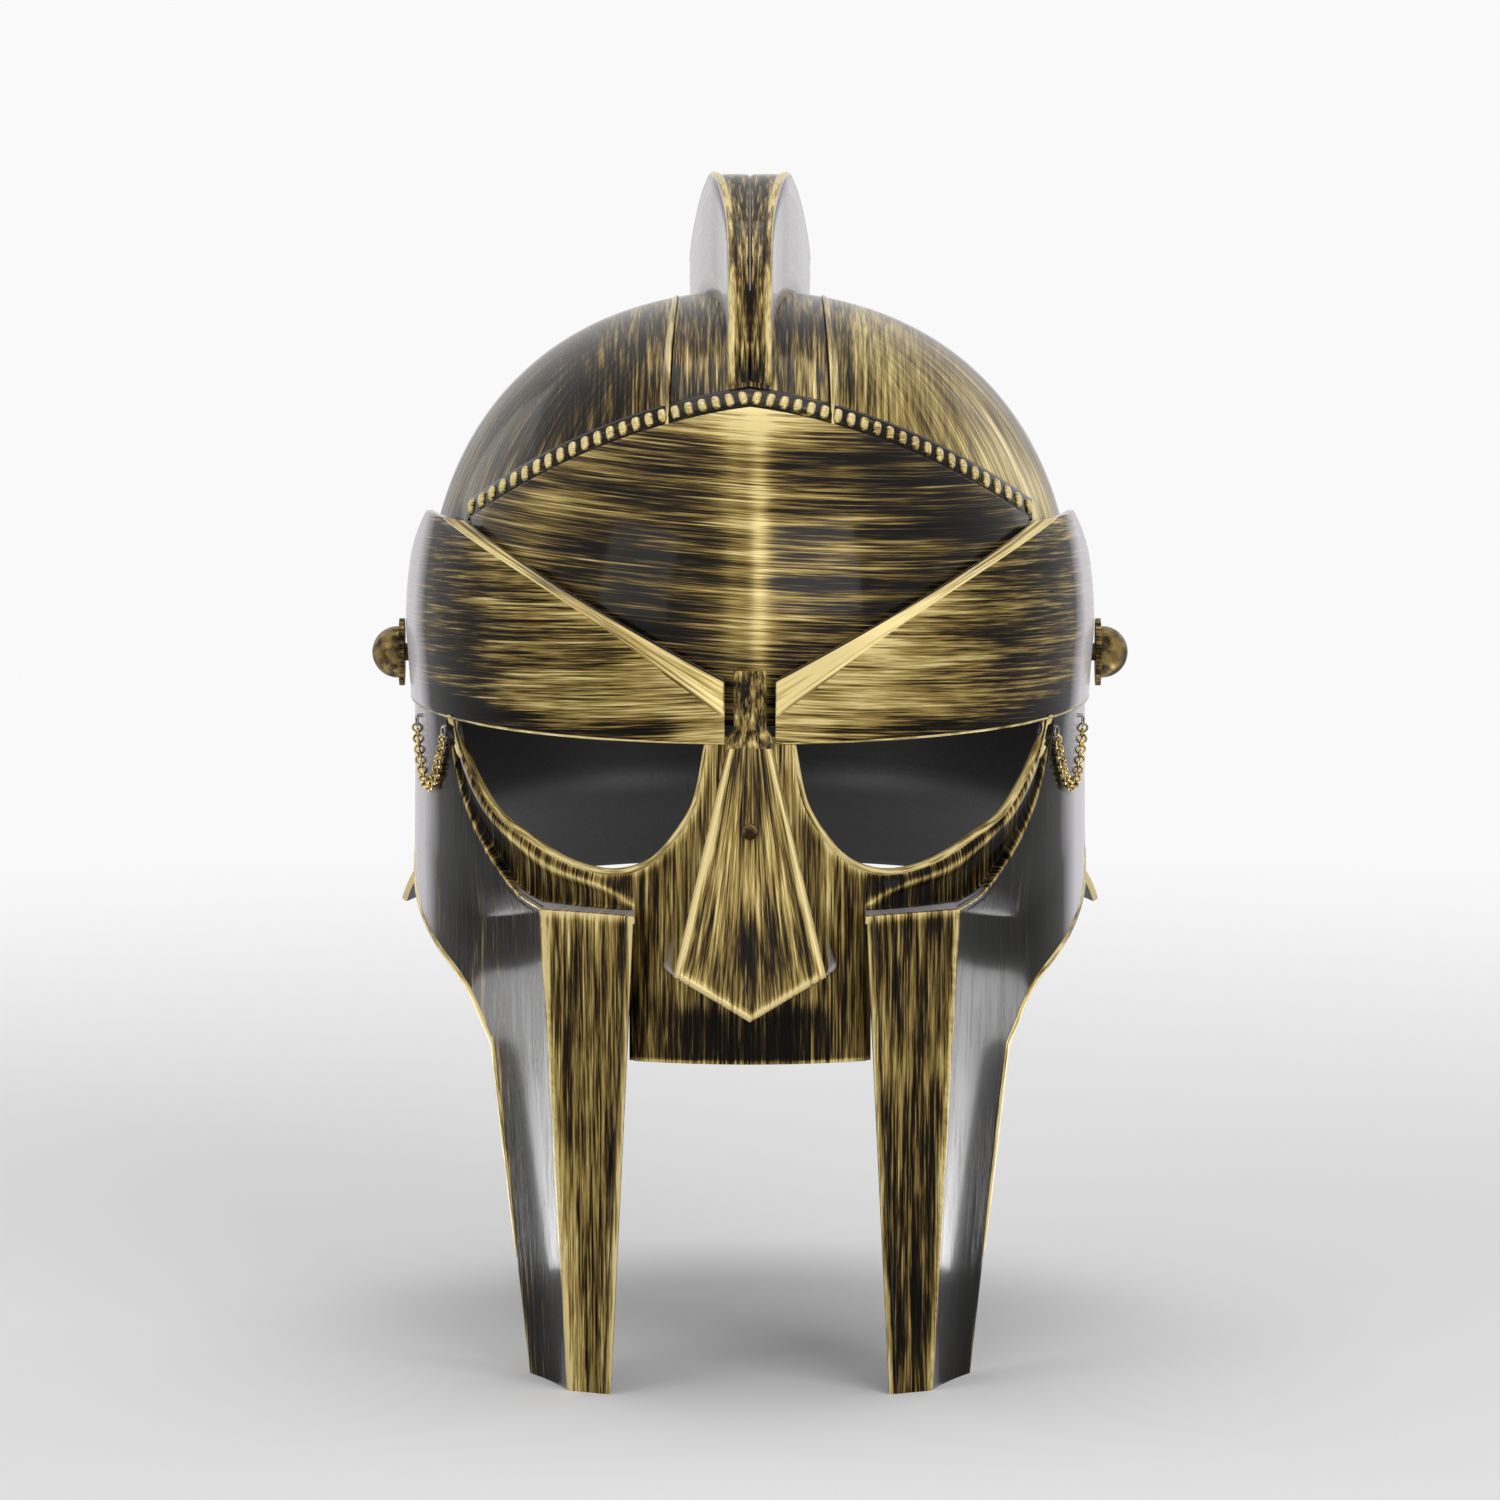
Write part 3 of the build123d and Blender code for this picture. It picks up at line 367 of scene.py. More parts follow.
profile = dome_profile(0)
profile_runs = lengths_along(profile)
skirt_alongs, skirt_levels = zip(*SKIRT_EDGE)
edge_curve = np.polyfit(skirt_levels, skirt_alongs, 3)
turns = np.linspace(-math.pi, math.pi, SHELL_COLUMNS)
look = np.linspace(0, profile_runs[-1], CUT_STEPS)
look_wide = np.interp(look, profile_runs, profile[:, 0])
look_level = np.interp(look, profile_runs, profile[:, 1])
look_along = -look_wide[:, None] * np.cos(turns) * dome_stretch(0, 0)
open_face = (look_level[:, None] < FACE_EDGE_LEVEL) & (
    look_along < np.polyval(edge_curve, look_level)[:, None]
)
cut_run = np.where(open_face.any(axis=0), look[open_face.argmax(axis=0)], look[-1])
run = row_shares(SHELL_ROWS) * cut_run
wide = np.interp(run, profile_runs, profile[:, 0])
level = np.interp(run, profile_runs, profile[:, 1])
shell_points = np.stack(
    [wide * np.sin(turns), -wide * np.cos(turns) * dome_stretch(0, 0), level], axis=2
)
shell_strokes = np.stack(np.broadcast_arrays(run, turns * DOME_HALF_WIDTH), axis=2)
# The cut edge is rubbed bare. In front the left side, towards the key lamp, holds more gold than
# the right: partly the paint, and partly painted light on the side the light falls on.
ahead = smoothstep((20 - shell_points[..., 1]) / 60)
shell_gold_and_painted_light = 0.5 * smoothstep(1 - (cut_run - run) / CUT_RUB) - 0.06
shell_gold_and_painted_light += 0.34 * ahead * smoothstep((shell_points[..., 0] - 8) / 35)
shell_gold_and_painted_light -= 0.08 * ahead * smoothstep((-shell_points[..., 0] - 5) / 40)
shell = surface("dome_shell", [(shell_points, shell_strokes, shell_gold_and_painted_light)])
shell_paint = brushed_gold(
    "dome_paint", 0.01, 3.1, gloss=0.5, painted_reflection_range=(0.93, 1.0), over_top=(26.0, 66.0)
)
rim_paint = brushed_gold("rim_paint", 0.42, 11.7, length=14.0, width=1.4)
inner_plastic = bare_plastic("inner_plastic")
give_wall(shell, SHELL_WALL, (shell_paint, rim_paint, inner_plastic))
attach(shell, "shell")
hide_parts("skull_shell")

# Dome strips: two low ridges moulded on the dome beside the crest, from the band to the back.
# Each is steep on its inner side, where dark paint stays, and rubbed with gold on top.

SIDES = ((1, "left"), (-1, "right"))
STRIP_PLACE, STRIP_START_LEVEL = 20.0, 60.0
STRIP_ACROSS = [(0.0, -0.4), (0.25, 0.30), (0.8, 0.55), (1.5, 0.25), (2.5, -0.3)]
STRIP_STATIONS, STRIP_WALL = 160, 0.6
STRIP_LEAN = (0.6, 0.6, 1.0)
STRIP_WIDENING, WIDENING_REACH = 0.1, 100.0
LINE_STEPS, LINE_END_GAP = 400, 0.02


def read_line(line, runs, wanted):
    """The places on a line at the wanted runs, on straight chords between its points."""
    return np.stack([np.interp(wanted, runs, line[:, axis]) for axis in range(3)], axis=1)


def even_line(points, count):
    """Points spread evenly by length along straight runs between the given points."""
    line = np.asarray(points, float)
    runs = lengths_along(line)
    return read_line(line, runs, np.linspace(0, runs[-1], count))


def soft_rows(rails, reach, steps=5):
    """Rails with rounded corners: each inner rail becomes a quadratic curve that starts a
    reach before it and ends a reach after it, so the crease along it is a round. Between near
    rails the reach is 0.45 of the gap."""
    soft = [rails[0]]
    turn = np.linspace(0, 1, steps)[:, None, None]
    for before, here, after in zip(rails, rails[1:], rails[2:]):
        starts, ends = [
            here + (rail - here) * np.minimum(0.45, reach / (apart(rail, here)[:, None] + 1e-9))
            for rail in (before, after)
        ]
        soft.extend(rounded(starts, here, ends, turn))
    soft.append(rails[-1])
    return np.stack(soft)


def unit(vectors):
    """Vectors brought to a length of one."""
    return vectors / np.linalg.norm(vectors, axis=-1, keepdims=True)


def mirrored(points, side):
    """Points as they are on the left side, and mirrored for the right."""
    return points * (side, 1, 1)


def dome_top(across, along, outset=0.0):
    """The level of the grown bowl over a place in plan, read off its outline."""
    outline = dome_profile(outset)[:DOME_STEPS]
    reach = np.hypot(across, along / dome_stretch(outset, outset))
    return np.interp(reach, outline[:, 0], outline[:, 1])


def over_dome(across):
    """A line from front to back over the dome at a place across: a straight run in plan whose
    level follows the bowl."""
    half = math.sqrt(1 - (across / (DOME_HALF_WIDTH - LINE_END_GAP)) ** 2) * DOME_HALF_LENGTH
    along = -half * np.cos(np.linspace(0.0, math.pi, LINE_STEPS))
    level = dome_top(across + 0 * along, along)
    level[0] = level[-1] = DOME_WIDEST_LEVEL
    return np.stack([across + 0 * along, along, level], axis=1)


strip_rails = []
for out, lift in STRIP_ACROSS:
    line = over_dome(STRIP_PLACE + out)
    line = even_line(line[(line[:, 1] > 0) | (line[:, 2] > STRIP_START_LEVEL)], STRIP_STATIONS)
    outward = unit(line * STRIP_LEAN - (0, 0, DOME_WIDEST_LEVEL))
    line[:, 0] *= 1 + STRIP_WIDENING * smoothstep(-line[:, 1] / WIDENING_REACH)
    strip_rails.append(line + outward * lift)
strip_points = soft_rows(strip_rails, 0.3, 3)
strip_gold = np.full(strip_points.shape[:2], 0.22)
strip_gold[:3] = -0.5
for side, word in SIDES:
    strip = surface(f"dome_strip_{word}", [(mirrored(strip_points, side), None, strip_gold)])
    give_wall(strip, STRIP_WALL, (shell_paint, shell_paint, inner_plastic), 0)
    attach(strip, "shell")

# Forehead plate: a thin shield bonded on the bowl below the band, with a soft keel down its
# middle. It is brushed across, from temple to temple.

ARCH = [(0.0, 79.0), (38.0, 69.0), (78.5, 44.5)]
PLATE_OUT, PLATE_HALF_WIDTH = 1.6, 77.6
PLATE_COLUMNS, PLATE_ROWS = 181, 70
KEEL_OUT, KEEL_REACH = 0.9, 4.2
STROKE_ARCH, STROKE_ARCH_WIDTH = 6, 95
PLATE_FOOT = [(0.0, -8.0), (10.0, -8.0), (78.5, 35.7)]
BAND_HALF_WIDTH = 2.5


def bell(gap, width):
    """e to the minus (gap / width) squared: one at no gap, and next to nought past two widths."""
    return np.exp(-((gap / width) ** 2))


def dome_width(level, outset):
    """Half the width of the grown bowl at a level."""
    profile = dome_profile(outset)[::-1]
    return np.interp(level, profile[:, 1], profile[:, 0])


def dome_front(across, level, outset, front_outset=None):
    """The point on the grown bowl's front with this X and Z."""
    front_outset = outset if front_outset is None else front_outset
    width = dome_width(level, outset)
    depth = np.sqrt(np.clip(width**2 - across**2, 0, None))
    return np.stack([across, -depth * dome_stretch(outset, front_outset), level], axis=-1)


def arc_through(first, middle, last, count):
    """Points along the circle through three points in the front view."""
    (ax, ay), (bx, by), (cx, cy) = first, middle, last
    system = np.array([[2 * (bx - ax), 2 * (by - ay)], [2 * (cx - ax), 2 * (cy - ay)]])
    known = np.array([bx**2 - ax**2 + by**2 - ay**2, cx**2 - ax**2 + cy**2 - ay**2])
    centre = np.linalg.solve(system, known)
    reach = math.hypot(ax - centre[0], ay - centre[1])
    start = math.atan2(ay - centre[1], ax - centre[0])
    end = math.atan2(cy - centre[1], cx - centre[0])
    turn = np.linspace(start, end, count)
    return np.stack([centre[0] + reach * np.cos(turn), centre[1] + reach * np.sin(turn)], axis=1)


arch_line = arc_through(*ARCH, LINE_STEPS)
across = np.linspace(-PLATE_HALF_WIDTH, PLATE_HALF_WIDTH, PLATE_COLUMNS)
top = np.interp(np.abs(across), arch_line[:, 0], arch_line[:, 1]) - BAND_HALF_WIDTH * 0.8
foot = np.minimum(np.interp(np.abs(across), *zip(*PLATE_FOOT)), top - 0.5)
level = part_way(foot, top, row_shares(PLATE_ROWS))
wide = np.broadcast_to(across, level.shape)
plate_points = dome_front(wide, level, PLATE_OUT)
plate_points[..., 1] -= KEEL_OUT * bell(wide, KEEL_REACH)
plate_strokes = np.stack([wide, level + STROKE_ARCH * np.sin(wide / STROKE_ARCH_WIDTH)], axis=2)
# The keel is rubbed bright, partly gold on the ridge and partly a painted highlight along it. The
# top, where it faces up to the light, is painted brighter as a highlight. Towards the temple at +X
# it is darker.
plate_gold_and_highlight = 0.34 * bell(wide - 2.5, 3.0) + 0.16 * bell(wide + 4.0, 4.0) - 0.05
plate_gold_and_highlight += 0.30 * smoothstep((level - 62) / 12) * bell(wide, 38)
plate_gold_and_highlight -= 0.06 * smoothstep((wide - 6) / 6) + 0.10 * smoothstep((wide - 28) / 12)
plate = surface("forehead_shield", [(plate_points, plate_strokes, plate_gold_and_highlight)])
plate_paint = brushed_gold("forehead_paint", 0.0, 5.3, length=24.0, width=0.5)
give_wall(plate, PLATE_OUT, (plate_paint, rim_paint, inner_plastic))
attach(plate, "shell")
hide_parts("forehead_plate")

# Beaded band: a strip arched over the forehead, moulded with short rounded bars across it. The
# bars are gold and the valleys between them stay dark.

BEAD_COUNT, BEAD_OUT = 46, 0.6
BEAD_HALF = (1.3, 2.6, 1.35)
BEAD_SQUARENESS = 0.7
NEXT_SHARE, NEXT_RISE, BAND_STATIONS = 0.002, 1.0, 241
BAND_SECTION = [(-2.7, 0.0), (-2.5, 0.8), (0.0, 0.9), (2.5, 0.8), (2.9, -0.2)]


def arch_place(share, rise=0.0, out=BEAD_OUT):
    """A place on the band by its share from the right end to the left, moved up the dome."""
    half = arc_through(*ARCH, 200)
    runs = lengths_along(half)
    away = np.abs(2 * share - 1) * runs[-1]
    side = np.sign(2 * share - 1)
    across = np.interp(away, runs, half[:, 0]) * side
    return dome_front(across, np.interp(away, runs, half[:, 1]) + rise, out)


def squared(value):
    """A sine or cosine drawn towards one, which squares up a round form."""
    return np.sign(value) * np.abs(value) ** BEAD_SQUARENESS


shares = (np.arange(BEAD_COUNT) + 0.5) / BEAD_COUNT
bead_places = arch_place(shares)
along = unit(arch_place(shares + NEXT_SHARE) - arch_place(shares - NEXT_SHARE))
out = unit(np.cross(along, arch_place(shares, NEXT_RISE) - arch_place(shares, -NEXT_RISE)))
up = np.cross(out, along)
# A bead is an ellipsoid whose sines and cosines are squared up, set square on the band.
turn, tilt = np.meshgrid(
    np.linspace(0, 2 * math.pi, 17), np.linspace(-math.pi / 2, math.pi / 2, 9)
)
bead = np.stack([
    BEAD_HALF[0] * squared(np.cos(tilt)) * squared(np.cos(turn)),
    BEAD_HALF[1] * squared(np.cos(tilt)) * squared(np.sin(turn)),
    BEAD_HALF[2] * np.sin(tilt),
], axis=2)[::-1]
bead_shade = 0.50 * smoothstep((bead[..., 2] - 0.2) / 1.0) - 0.15
beads = [
    (place + bead @ np.stack(axes), bead[..., :2] * 3 + number * 7, bead_shade)
    for number, (place, *axes) in enumerate(zip(bead_places, along, up, out))
]
shares = np.linspace(0, 1, BAND_STATIONS)
band_rails = soft_rows([arch_place(shares, rise, lift) for rise, lift in BAND_SECTION], 0.4, 3)
beads.append((band_rails, None, -0.55))
band = surface("beaded_strip", beads, inside=(0, 0, 20), weld=0.001)
give_finishes(band, brushed_gold("band_paint", 0.10, 7.9, length=5.0, width=1.2))
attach(band, "shell")
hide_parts("beaded_band")

# Crest: a hollow fin in two halves that meet on the middle plane. A raised gold rim runs along
# both edges of its front and top. Its smooth sides carry a painted reflection of the room, pale
# where seen edge-on.

CREST_SIDE = [(-0.665, 0.600), (-0.625, 0.735), (-0.45, 0.890), (-0.20, 0.978), (0.0, 1.0),
              (0.23, 0.956), (0.455, 0.890), (0.68, 0.800), (0.86, 0.655), (0.93, 0.480),
              (0.90, 0.400)]
CREST_PLAN = [(-0.75, 0.335), (-0.41, 0.370), (-0.18, 0.490), (0.0, 0.630), (0.23, 0.775),
              (0.455, 0.890), (0.70, 1.000), (0.96, 0.320)]
CREST_TOP, CREST_HALF_WIDTH = 136.0, 17.5
CREST_WALL, CREST_SUNK, CREST_RIM = 1.8, 0.7, 1.7
CREST_ROOT = np.array([0.0, 0.0, 30.0])
CREST_BURIED, CREST_SEAM_GAP, CREST_STATIONS = 1.5, 0.05, 181


def smooth_line(points, count, span_steps=24):
    """Points evenly spread along a Catmull-Rom line: each span is the cubic that leaves and
    meets its ends along the chord between the points on either side."""
    knots = np.asarray(points, float)
    ends = np.vstack([2 * knots[0] - knots[1], knots, 2 * knots[-1] - knots[-2]])
    turn = np.linspace(0, 1, span_steps, endpoint=False)[:, None]
    spans = [
        0.5 * (2 * start + (end - before) * turn
               + (2 * before - 5 * start + 4 * end - after) * turn**2
               + (3 * start - before - 3 * end + after) * turn**3)
        for before, start, end, after in zip(ends, ends[1:], ends[2:], ends[3:])
    ]
    return even_line(np.vstack(spans + [knots[-1:]]), count)


side_line = smooth_line(
    [(0, along * DOME_HALF_LENGTH, level * CREST_TOP) for along, level in CREST_SIDE],
    CREST_STATIONS,
)
plan = [(along * DOME_HALF_LENGTH, width * CREST_HALF_WIDTH, 0) for along, width in CREST_PLAN]
plan_line = np.vstack([smooth_line(plan[:-1], 120), plan[-1:]])
tangent = np.gradient(side_line, axis=0)
outward = unit(np.stack([0 * tangent[:, 0], -tangent[:, 2], tangent[:, 1]], axis=1))
outward *= np.sign((outward * (side_line - CREST_ROOT)).sum(axis=1))[:, None]


def crest_width(along):
    """Half the crest's width at a place along the helmet."""
    return np.interp(along, plan_line[:, 0], plan_line[:, 1])


def crest_rail(across, lift):
    """A rail along the crest's outline, at a place across and a height off the outline."""
    rail = side_line + outward * lift
    rail[:, 0] = across
    return rail


# The sides run from the outline towards the root, and stop inside the dome.
half_width = crest_width(side_line[:, 1])
shares_down = np.linspace(0, 1, LINE_STEPS)
down = part_way(side_line, CREST_ROOT, shares_down[:, None, None])
dome_there = dome_top(crest_width(down[..., 1]), down[..., 1])
end_share = shares_down[(down[..., 2] < dome_there - CREST_BURIED).argmax(axis=0)]
wall_rails = []
for step in (0.04, 0.2, 0.4, 0.6, 0.8, 1.0):
    rail = part_way(side_line, CREST_ROOT, (end_share * step)[:, None])
    rail[:, 0] = crest_width(rail[:, 1])
    wall_rails.append(rail)
# The face runs out from the seam: its flange, the sunk middle, the rim's slope and its flat.
face = soft_rows([
    crest_rail(CREST_SEAM_GAP, -2.4),
    crest_rail(CREST_SEAM_GAP, -CREST_SUNK - 0.5),
    crest_rail(CREST_SEAM_GAP + 0.5, -CREST_SUNK),
    crest_rail(half_width * 0.5, -CREST_SUNK * 0.85),
    crest_rail(half_width - CREST_RIM - 0.7, -CREST_SUNK),
    crest_rail(half_width - CREST_RIM, 0.0),
    crest_rail(half_width - 0.35, 0.0),
    wall_rails[0],
], 0.35, 4)
fin = soft_rows(wall_rails, 0.3, 3)
rim_gap = np.abs(face[..., 0] - (half_width - CREST_RIM * 0.5))
crest_gold = 0.38 * smoothstep(1 - (rim_gap - CREST_RIM * 0.4) / 0.8) + 0.06
crest_gold -= 0.25 * smoothstep(1 - np.abs(face[..., 0]) / 0.6)
crest_gold -= 0.35 * smoothstep(1 - np.arange(face.shape[1]) / 9.0)
crest_paint = brushed_gold("crest_paint", 0.02, 9.2, length=8.0, width=1.1)
# The crest's sides have the widest painted reflection: their colour turns pale grey well before
# edge-on.
crest_side_paint = brushed_gold(
    "crest_side_paint", -0.08, 2.4, length=30.0, width=1.4, gloss=0.5, painted_reflection_range=(0.55, 1.0)
)
for side, word in SIDES:
    half = surface(f"crest_face_{word}", [(mirrored(face, side), None, crest_gold)], (0, 10, 60))
    give_wall(half, CREST_WALL, (crest_paint, crest_paint, inner_plastic), 0)
    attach(half, "shell")
    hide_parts(f"crest_half_{word}")
    cheek = surface(f"crest_side_{word}", [(mirrored(fin, side), None, None)], (0, 10, 60))
    give_wall(cheek, CREST_WALL, (crest_side_paint, crest_side_paint, inner_plastic), 0)
    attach(cheek, "shell")

# Brow plates: two plates that stand off the bowl and sweep back from the nose to the knobs,
# brushed along their length. Each turns in at its top as a ledge, and beside the nose bar.

BROW_OUT, BROW_VALLEY_OUT = (5.8, 10.4), (4.3, 6.2)
BROW_WALL = 1.7
BROW_FOOT_LEVEL, BROW_TOP_LEVEL = -12.0, 42.7
BROW_INNER_ACROSS = 7.0
BROW_RETURN, BROW_LEDGE_SHARE = 2.9, 0.45
RIDGE_ARC = [(7.0, -3.5), (50.6, 25.0), (86.0, 42.7)]
BROW_SHOULDER = [(-24.0, 42.7), (8.0, 17.2)]
BROW_SHOULDER_START = -30.0
LOBE_REACH = 19.0
BROW_COLUMNS, BROW_ROWS, BROW_ROUNDS = 221, 34, 60


def dome_round(turn, level, outset, front_outset):
    """The point on the grown bowl at an angle round from the front, and at a level."""
    width = dome_width(level, outset)
    return np.stack([width * np.sin(turn),
                     -width * np.cos(turn) * dome_stretch(outset, front_outset),
                     level + 0 * turn], axis=-1)


ridge_seen = arc_through(*RIDGE_ARC, 300)


def lobe_height(along):
    """Half the height of the round lobe about the knob, at a place along."""
    return np.sqrt(np.clip(LOBE_REACH**2 - along**2, 0, None))


def brow_top(across, along):
    """The brow's upper edge: the ridge's arc in front, then level, the shoulder and the lobe."""
    ridge = np.interp(across, ridge_seen[:, 0], ridge_seen[:, 1])
    (front, high), (back, low) = BROW_SHOULDER
    shoulder = high + (low - high) * (along - front) / (back - front)
    side = np.where(along < back, np.minimum(high, shoulder), lobe_height(along))
    return np.where(along < BROW_SHOULDER_START, np.minimum(ridge, high), side)


knob_width = dome_width(0.0, BROW_OUT[0])
start_turn = math.asin(BROW_INNER_ACROSS / knob_width)
end_turn = math.pi / 2 + math.asin(LOBE_REACH / (knob_width * dome_stretch(*BROW_OUT)))
turns = part_way(start_turn, end_turn, np.linspace(0, 1, BROW_COLUMNS))
# The edge's level settles in rounds, because it follows from its place and its place from it.
top = np.full(BROW_COLUMNS, 20.0)
for attempt in range(BROW_ROUNDS):
    place = dome_round(turns, top, *BROW_OUT)
    top = 0.5 * top + 0.5 * brow_top(place[:, 0], place[:, 1])
along = dome_round(turns, 0 * turns, *BROW_OUT)[:, 1]
lobe_foot = np.maximum(BROW_FOOT_LEVEL, -lobe_height(along))
foot = np.where(along > 0, lobe_foot, BROW_FOOT_LEVEL)
level = part_way(foot, top, row_shares(BROW_ROWS))
brow_points = dome_round(np.broadcast_to(turns, level.shape), level, *BROW_OUT)
brow_edge = brow_points[-1]
inward = dome_round(turns, top, *BROW_VALLEY_OUT)
level_top = (top > BROW_TOP_LEVEL - 0.6)[:, None]
ledge_end = np.where(level_top, inward, part_way(brow_edge, inward, BROW_LEDGE_SHARE))
ledge = soft_rows([brow_edge, (brow_edge + ledge_end) / 2, ledge_end], 0.3, 3)
brow_grid = np.concatenate([brow_points, ledge[1:]])
return_depths = np.linspace(1, 0.15, 5)[None, :, None] * (0, BROW_RETURN, 0)
brow_grid = np.concatenate([brow_grid[:, :1] + return_depths, brow_grid], axis=1)
brow_run = stroke_places(brow_grid)[:1, :, 0]
brow_strokes = np.stack(
    np.broadcast_arrays(brow_run, brow_grid[..., 2] + 0.06 * brow_run), axis=2
)
# Gold gathers beside the nose, thins towards the knob, and leaves a dark line along the foot.
run_share = np.linspace(0, 1, brow_grid.shape[1])[None, :]
brow_gold = 0.36 * smoothstep(1 - (run_share - 0.04) / 0.40)
brow_gold = brow_gold - 0.18 * smoothstep((run_share - 0.32) / 0.26)
foot_line = smoothstep((-2 - brow_grid[..., 2]) / 7) * smoothstep((run_share - 0.08) / 0.06)
brow_gold = brow_gold - 0.34 * foot_line
brow_gold[:, :4] = -0.5
# The brow plates' paint turns pale grey near edge-on, a painted reflection of the room.
brow_paint = brushed_gold(
    "brow_paint", 0.04, 4.6, length=24.0, width=0.55, gloss=0.25, painted_reflection_range=(0.73, 0.82)
)
for side, word in SIDES:
    grid = (mirrored(brow_grid, side), brow_strokes + side * 60, brow_gold)
    brow = surface(f"brow_{word}", [grid])
    give_wall(brow, BROW_WALL, (brow_paint, rim_paint, inner_plastic))
    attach(brow, "visor")
    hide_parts(f"brow_plate_{word}")

# Brow rims: the bevels that fall from each brow's ridge to the V over the forehead, rubbed
# nearly bare so that the ridge shows as a bright gold line, duller towards the temples.

VALLEY_ENDS = [(7.0, 5.3), (79.0, 42.7)]
RIM_STATIONS, RIM_WALL = 121, 0.8

seen = even_line(np.column_stack([ridge_seen, 0 * ridge_seen[:, :1]]), RIM_STATIONS)
ridge = dome_front(seen[:, 0], seen[:, 1], *BROW_OUT)
share = np.linspace(0, 1, RIM_STATIONS)
valley = dome_front(*part_way(*np.array(VALLEY_ENDS), share[:, None]).T, *BROW_VALLEY_OUT)
rim_points = soft_rows([
    ridge + (0, 0.1, -1.2),
    ridge + (0, -0.12, 0.1),
    part_way(valley, ridge, 0.06),
    valley + (0, 1.0, 0.1),
], 0.8, 6)
rim_gold = np.full(rim_points.shape[:2], 0.34)
rim_gold[2:6] = 0.62
rim_gold -= 0.30 * smoothstep((share - 0.25) / 0.6)
rim_gold[-4:] = -0.25
bevel_paint = brushed_gold("bevel_paint", 0.16, 8.8, length=40.0, width=1.6, pale=1.1)
for side, word in SIDES:
    grid = (mirrored(rim_points, side), None, rim_gold + 0.07 * side)
    rim = surface(f"brow_bevel_{word}", [grid])
    give_wall(rim, RIM_WALL, (bevel_paint, bevel_paint, inner_plastic), 0)
    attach(rim, "visor")
    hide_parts(f"brow_rim_{word}")

# Face mask: one moulding round the face, an oval wall with the eyes cut out, a raised nose, and
# a blade down each cheek. A ridge climbs from each blade to the eye's outer corner.

MASK_HALF_WIDTH, MASK_HALF_LENGTH, MASK_WALL = 94.8, 118.0, 2.0
MASK_TOP_LEVEL, MASK_HIDDEN_TOP, LIP_LEVEL = -13.0, -11.0, -100.0
BLADE_TOP_LEVEL, BLADE_FOOT_LEVEL = -59.0, -192.0
BLADE_RETURN_FOOT, BLADE_RETURN_WIDENING = 6.0, 3.2
NOSE_TOP_HALF, NOSE_CORNER, NOSE_TIP_LEVEL, NOSE_REACH = 6.0, (20.5, -74.0), -86.0, 12.0
NOSE_FLANK = 5.5
MIDDLE_HALF_WIDTH, MIDDLE_TUCK, BLADE_INNER_TOP = 33.0, 1.2, 31.5
SURROUND_REACH = 83.0
RIM_PROUD, BESIDE_RIM_PROUD = 1.9, 1.3
FOLLOW_LEVEL, FOLLOW_REACH, DRAW_REACH = -118.0, 45, 42
HOLLOW, HOLLOW_WAY = 0.9, (0.92, 0.39)
MIDDLE_ROWS, BLADE_STATIONS, TOP_STATIONS, CLIMB_STATIONS = 111, 121, 31, 61
REAR_STATIONS = (84, 70, 29)
EYE = [(11.4, -8.7), (14.7, -27.2), (21.3, -38.8), (28.4, -45.6), (38.4, -48.5),
       (50.2, -46.6), (62.1, -40.7), (71.6, -34.0), (81.1, -17.5), (82.0, -8.7)]
BLADE_INNER = [(38.0, -114.5, BLADE_FOOT_LEVEL), (BLADE_INNER_TOP, -120.0, BLADE_TOP_LEVEL)]
RIDGE_BLADE = [(50.0, -108.5, BLADE_FOOT_LEVEL), (57.0, -106.0, BLADE_TOP_LEVEL)]
RIDGE_CLIMB = [(57.0, -106.0, BLADE_TOP_LEVEL), (63.4, -97.2, -56.0), (69.5, -87.0, -50.0),
               (75.0, -76.0, -42.5), (79.8, -66.0, -32.0), (82.3, -60.5, -21.0),
               (83.0, -57.5, -12.0)]
RIM_LINE = [(31.5, -57.2), (37.5, -54.0), (43.5, -51.8), (55.0, -48.6), (63.5, -43.4),
            (72.5, -36.2), (79.0, -25.0), (82.6, -11.5)]
REAR_EDGE = [(61.0, -82.0, BLADE_FOOT_LEVEL), (71.2, -77.9, -100.0)]
JAW_EDGE = [(-77.9, -100.0), (-64.9, -85.0), (-38.9, -74.5), (-11.8, -64.5), (5.9, -55.0)]


def fill_rows(rows, spacing):
    """Rails with straight ones put between them wherever two lie further apart than a spacing."""
    filled = [rows[0]]
    for start, end in zip(rows, rows[1:]):
        count = max(1, int(np.ceil(apart(end, start).max() / spacing)))
        filled += [start + (end - start) * step / count for step in range(1, count + 1)]
    return np.stack(filled)


def oval_along(across):
    """Y on the front of the mask's oval wall at a place across."""
    return -MASK_HALF_LENGTH * np.sqrt(np.clip(1 - (across / MASK_HALF_WIDTH) ** 2, 0, None))


def oval_across(along):
    """X on the left of the mask's oval wall at a place along."""
    return MASK_HALF_WIDTH * np.sqrt(np.clip(1 - (along / MASK_HALF_LENGTH) ** 2, 0, None))


def oval_reach(points):
    """How far out a place is, as a share of the way to the oval wall."""
    return np.hypot(points[..., 0] / MASK_HALF_WIDTH, points[..., 1] / MASK_HALF_LENGTH)


def nose_front(level, proud):
    """Y of the nose's sloping front at a level, brought forward by an amount."""
    fall = (MASK_TOP_LEVEL - level) / (MASK_TOP_LEVEL - NOSE_CORNER[1])
    return -MASK_HALF_LENGTH - proud - NOSE_REACH * fall


def on_oval(rail, shift=0.0, most_across=MASK_HALF_WIDTH):
    """A rail moved to the oval wall, or forward of it by a negative shift."""
    rail = rail.copy()
    rail[:, 1] = oval_along(np.minimum(rail[:, 0], most_across)) + shift
    return rail


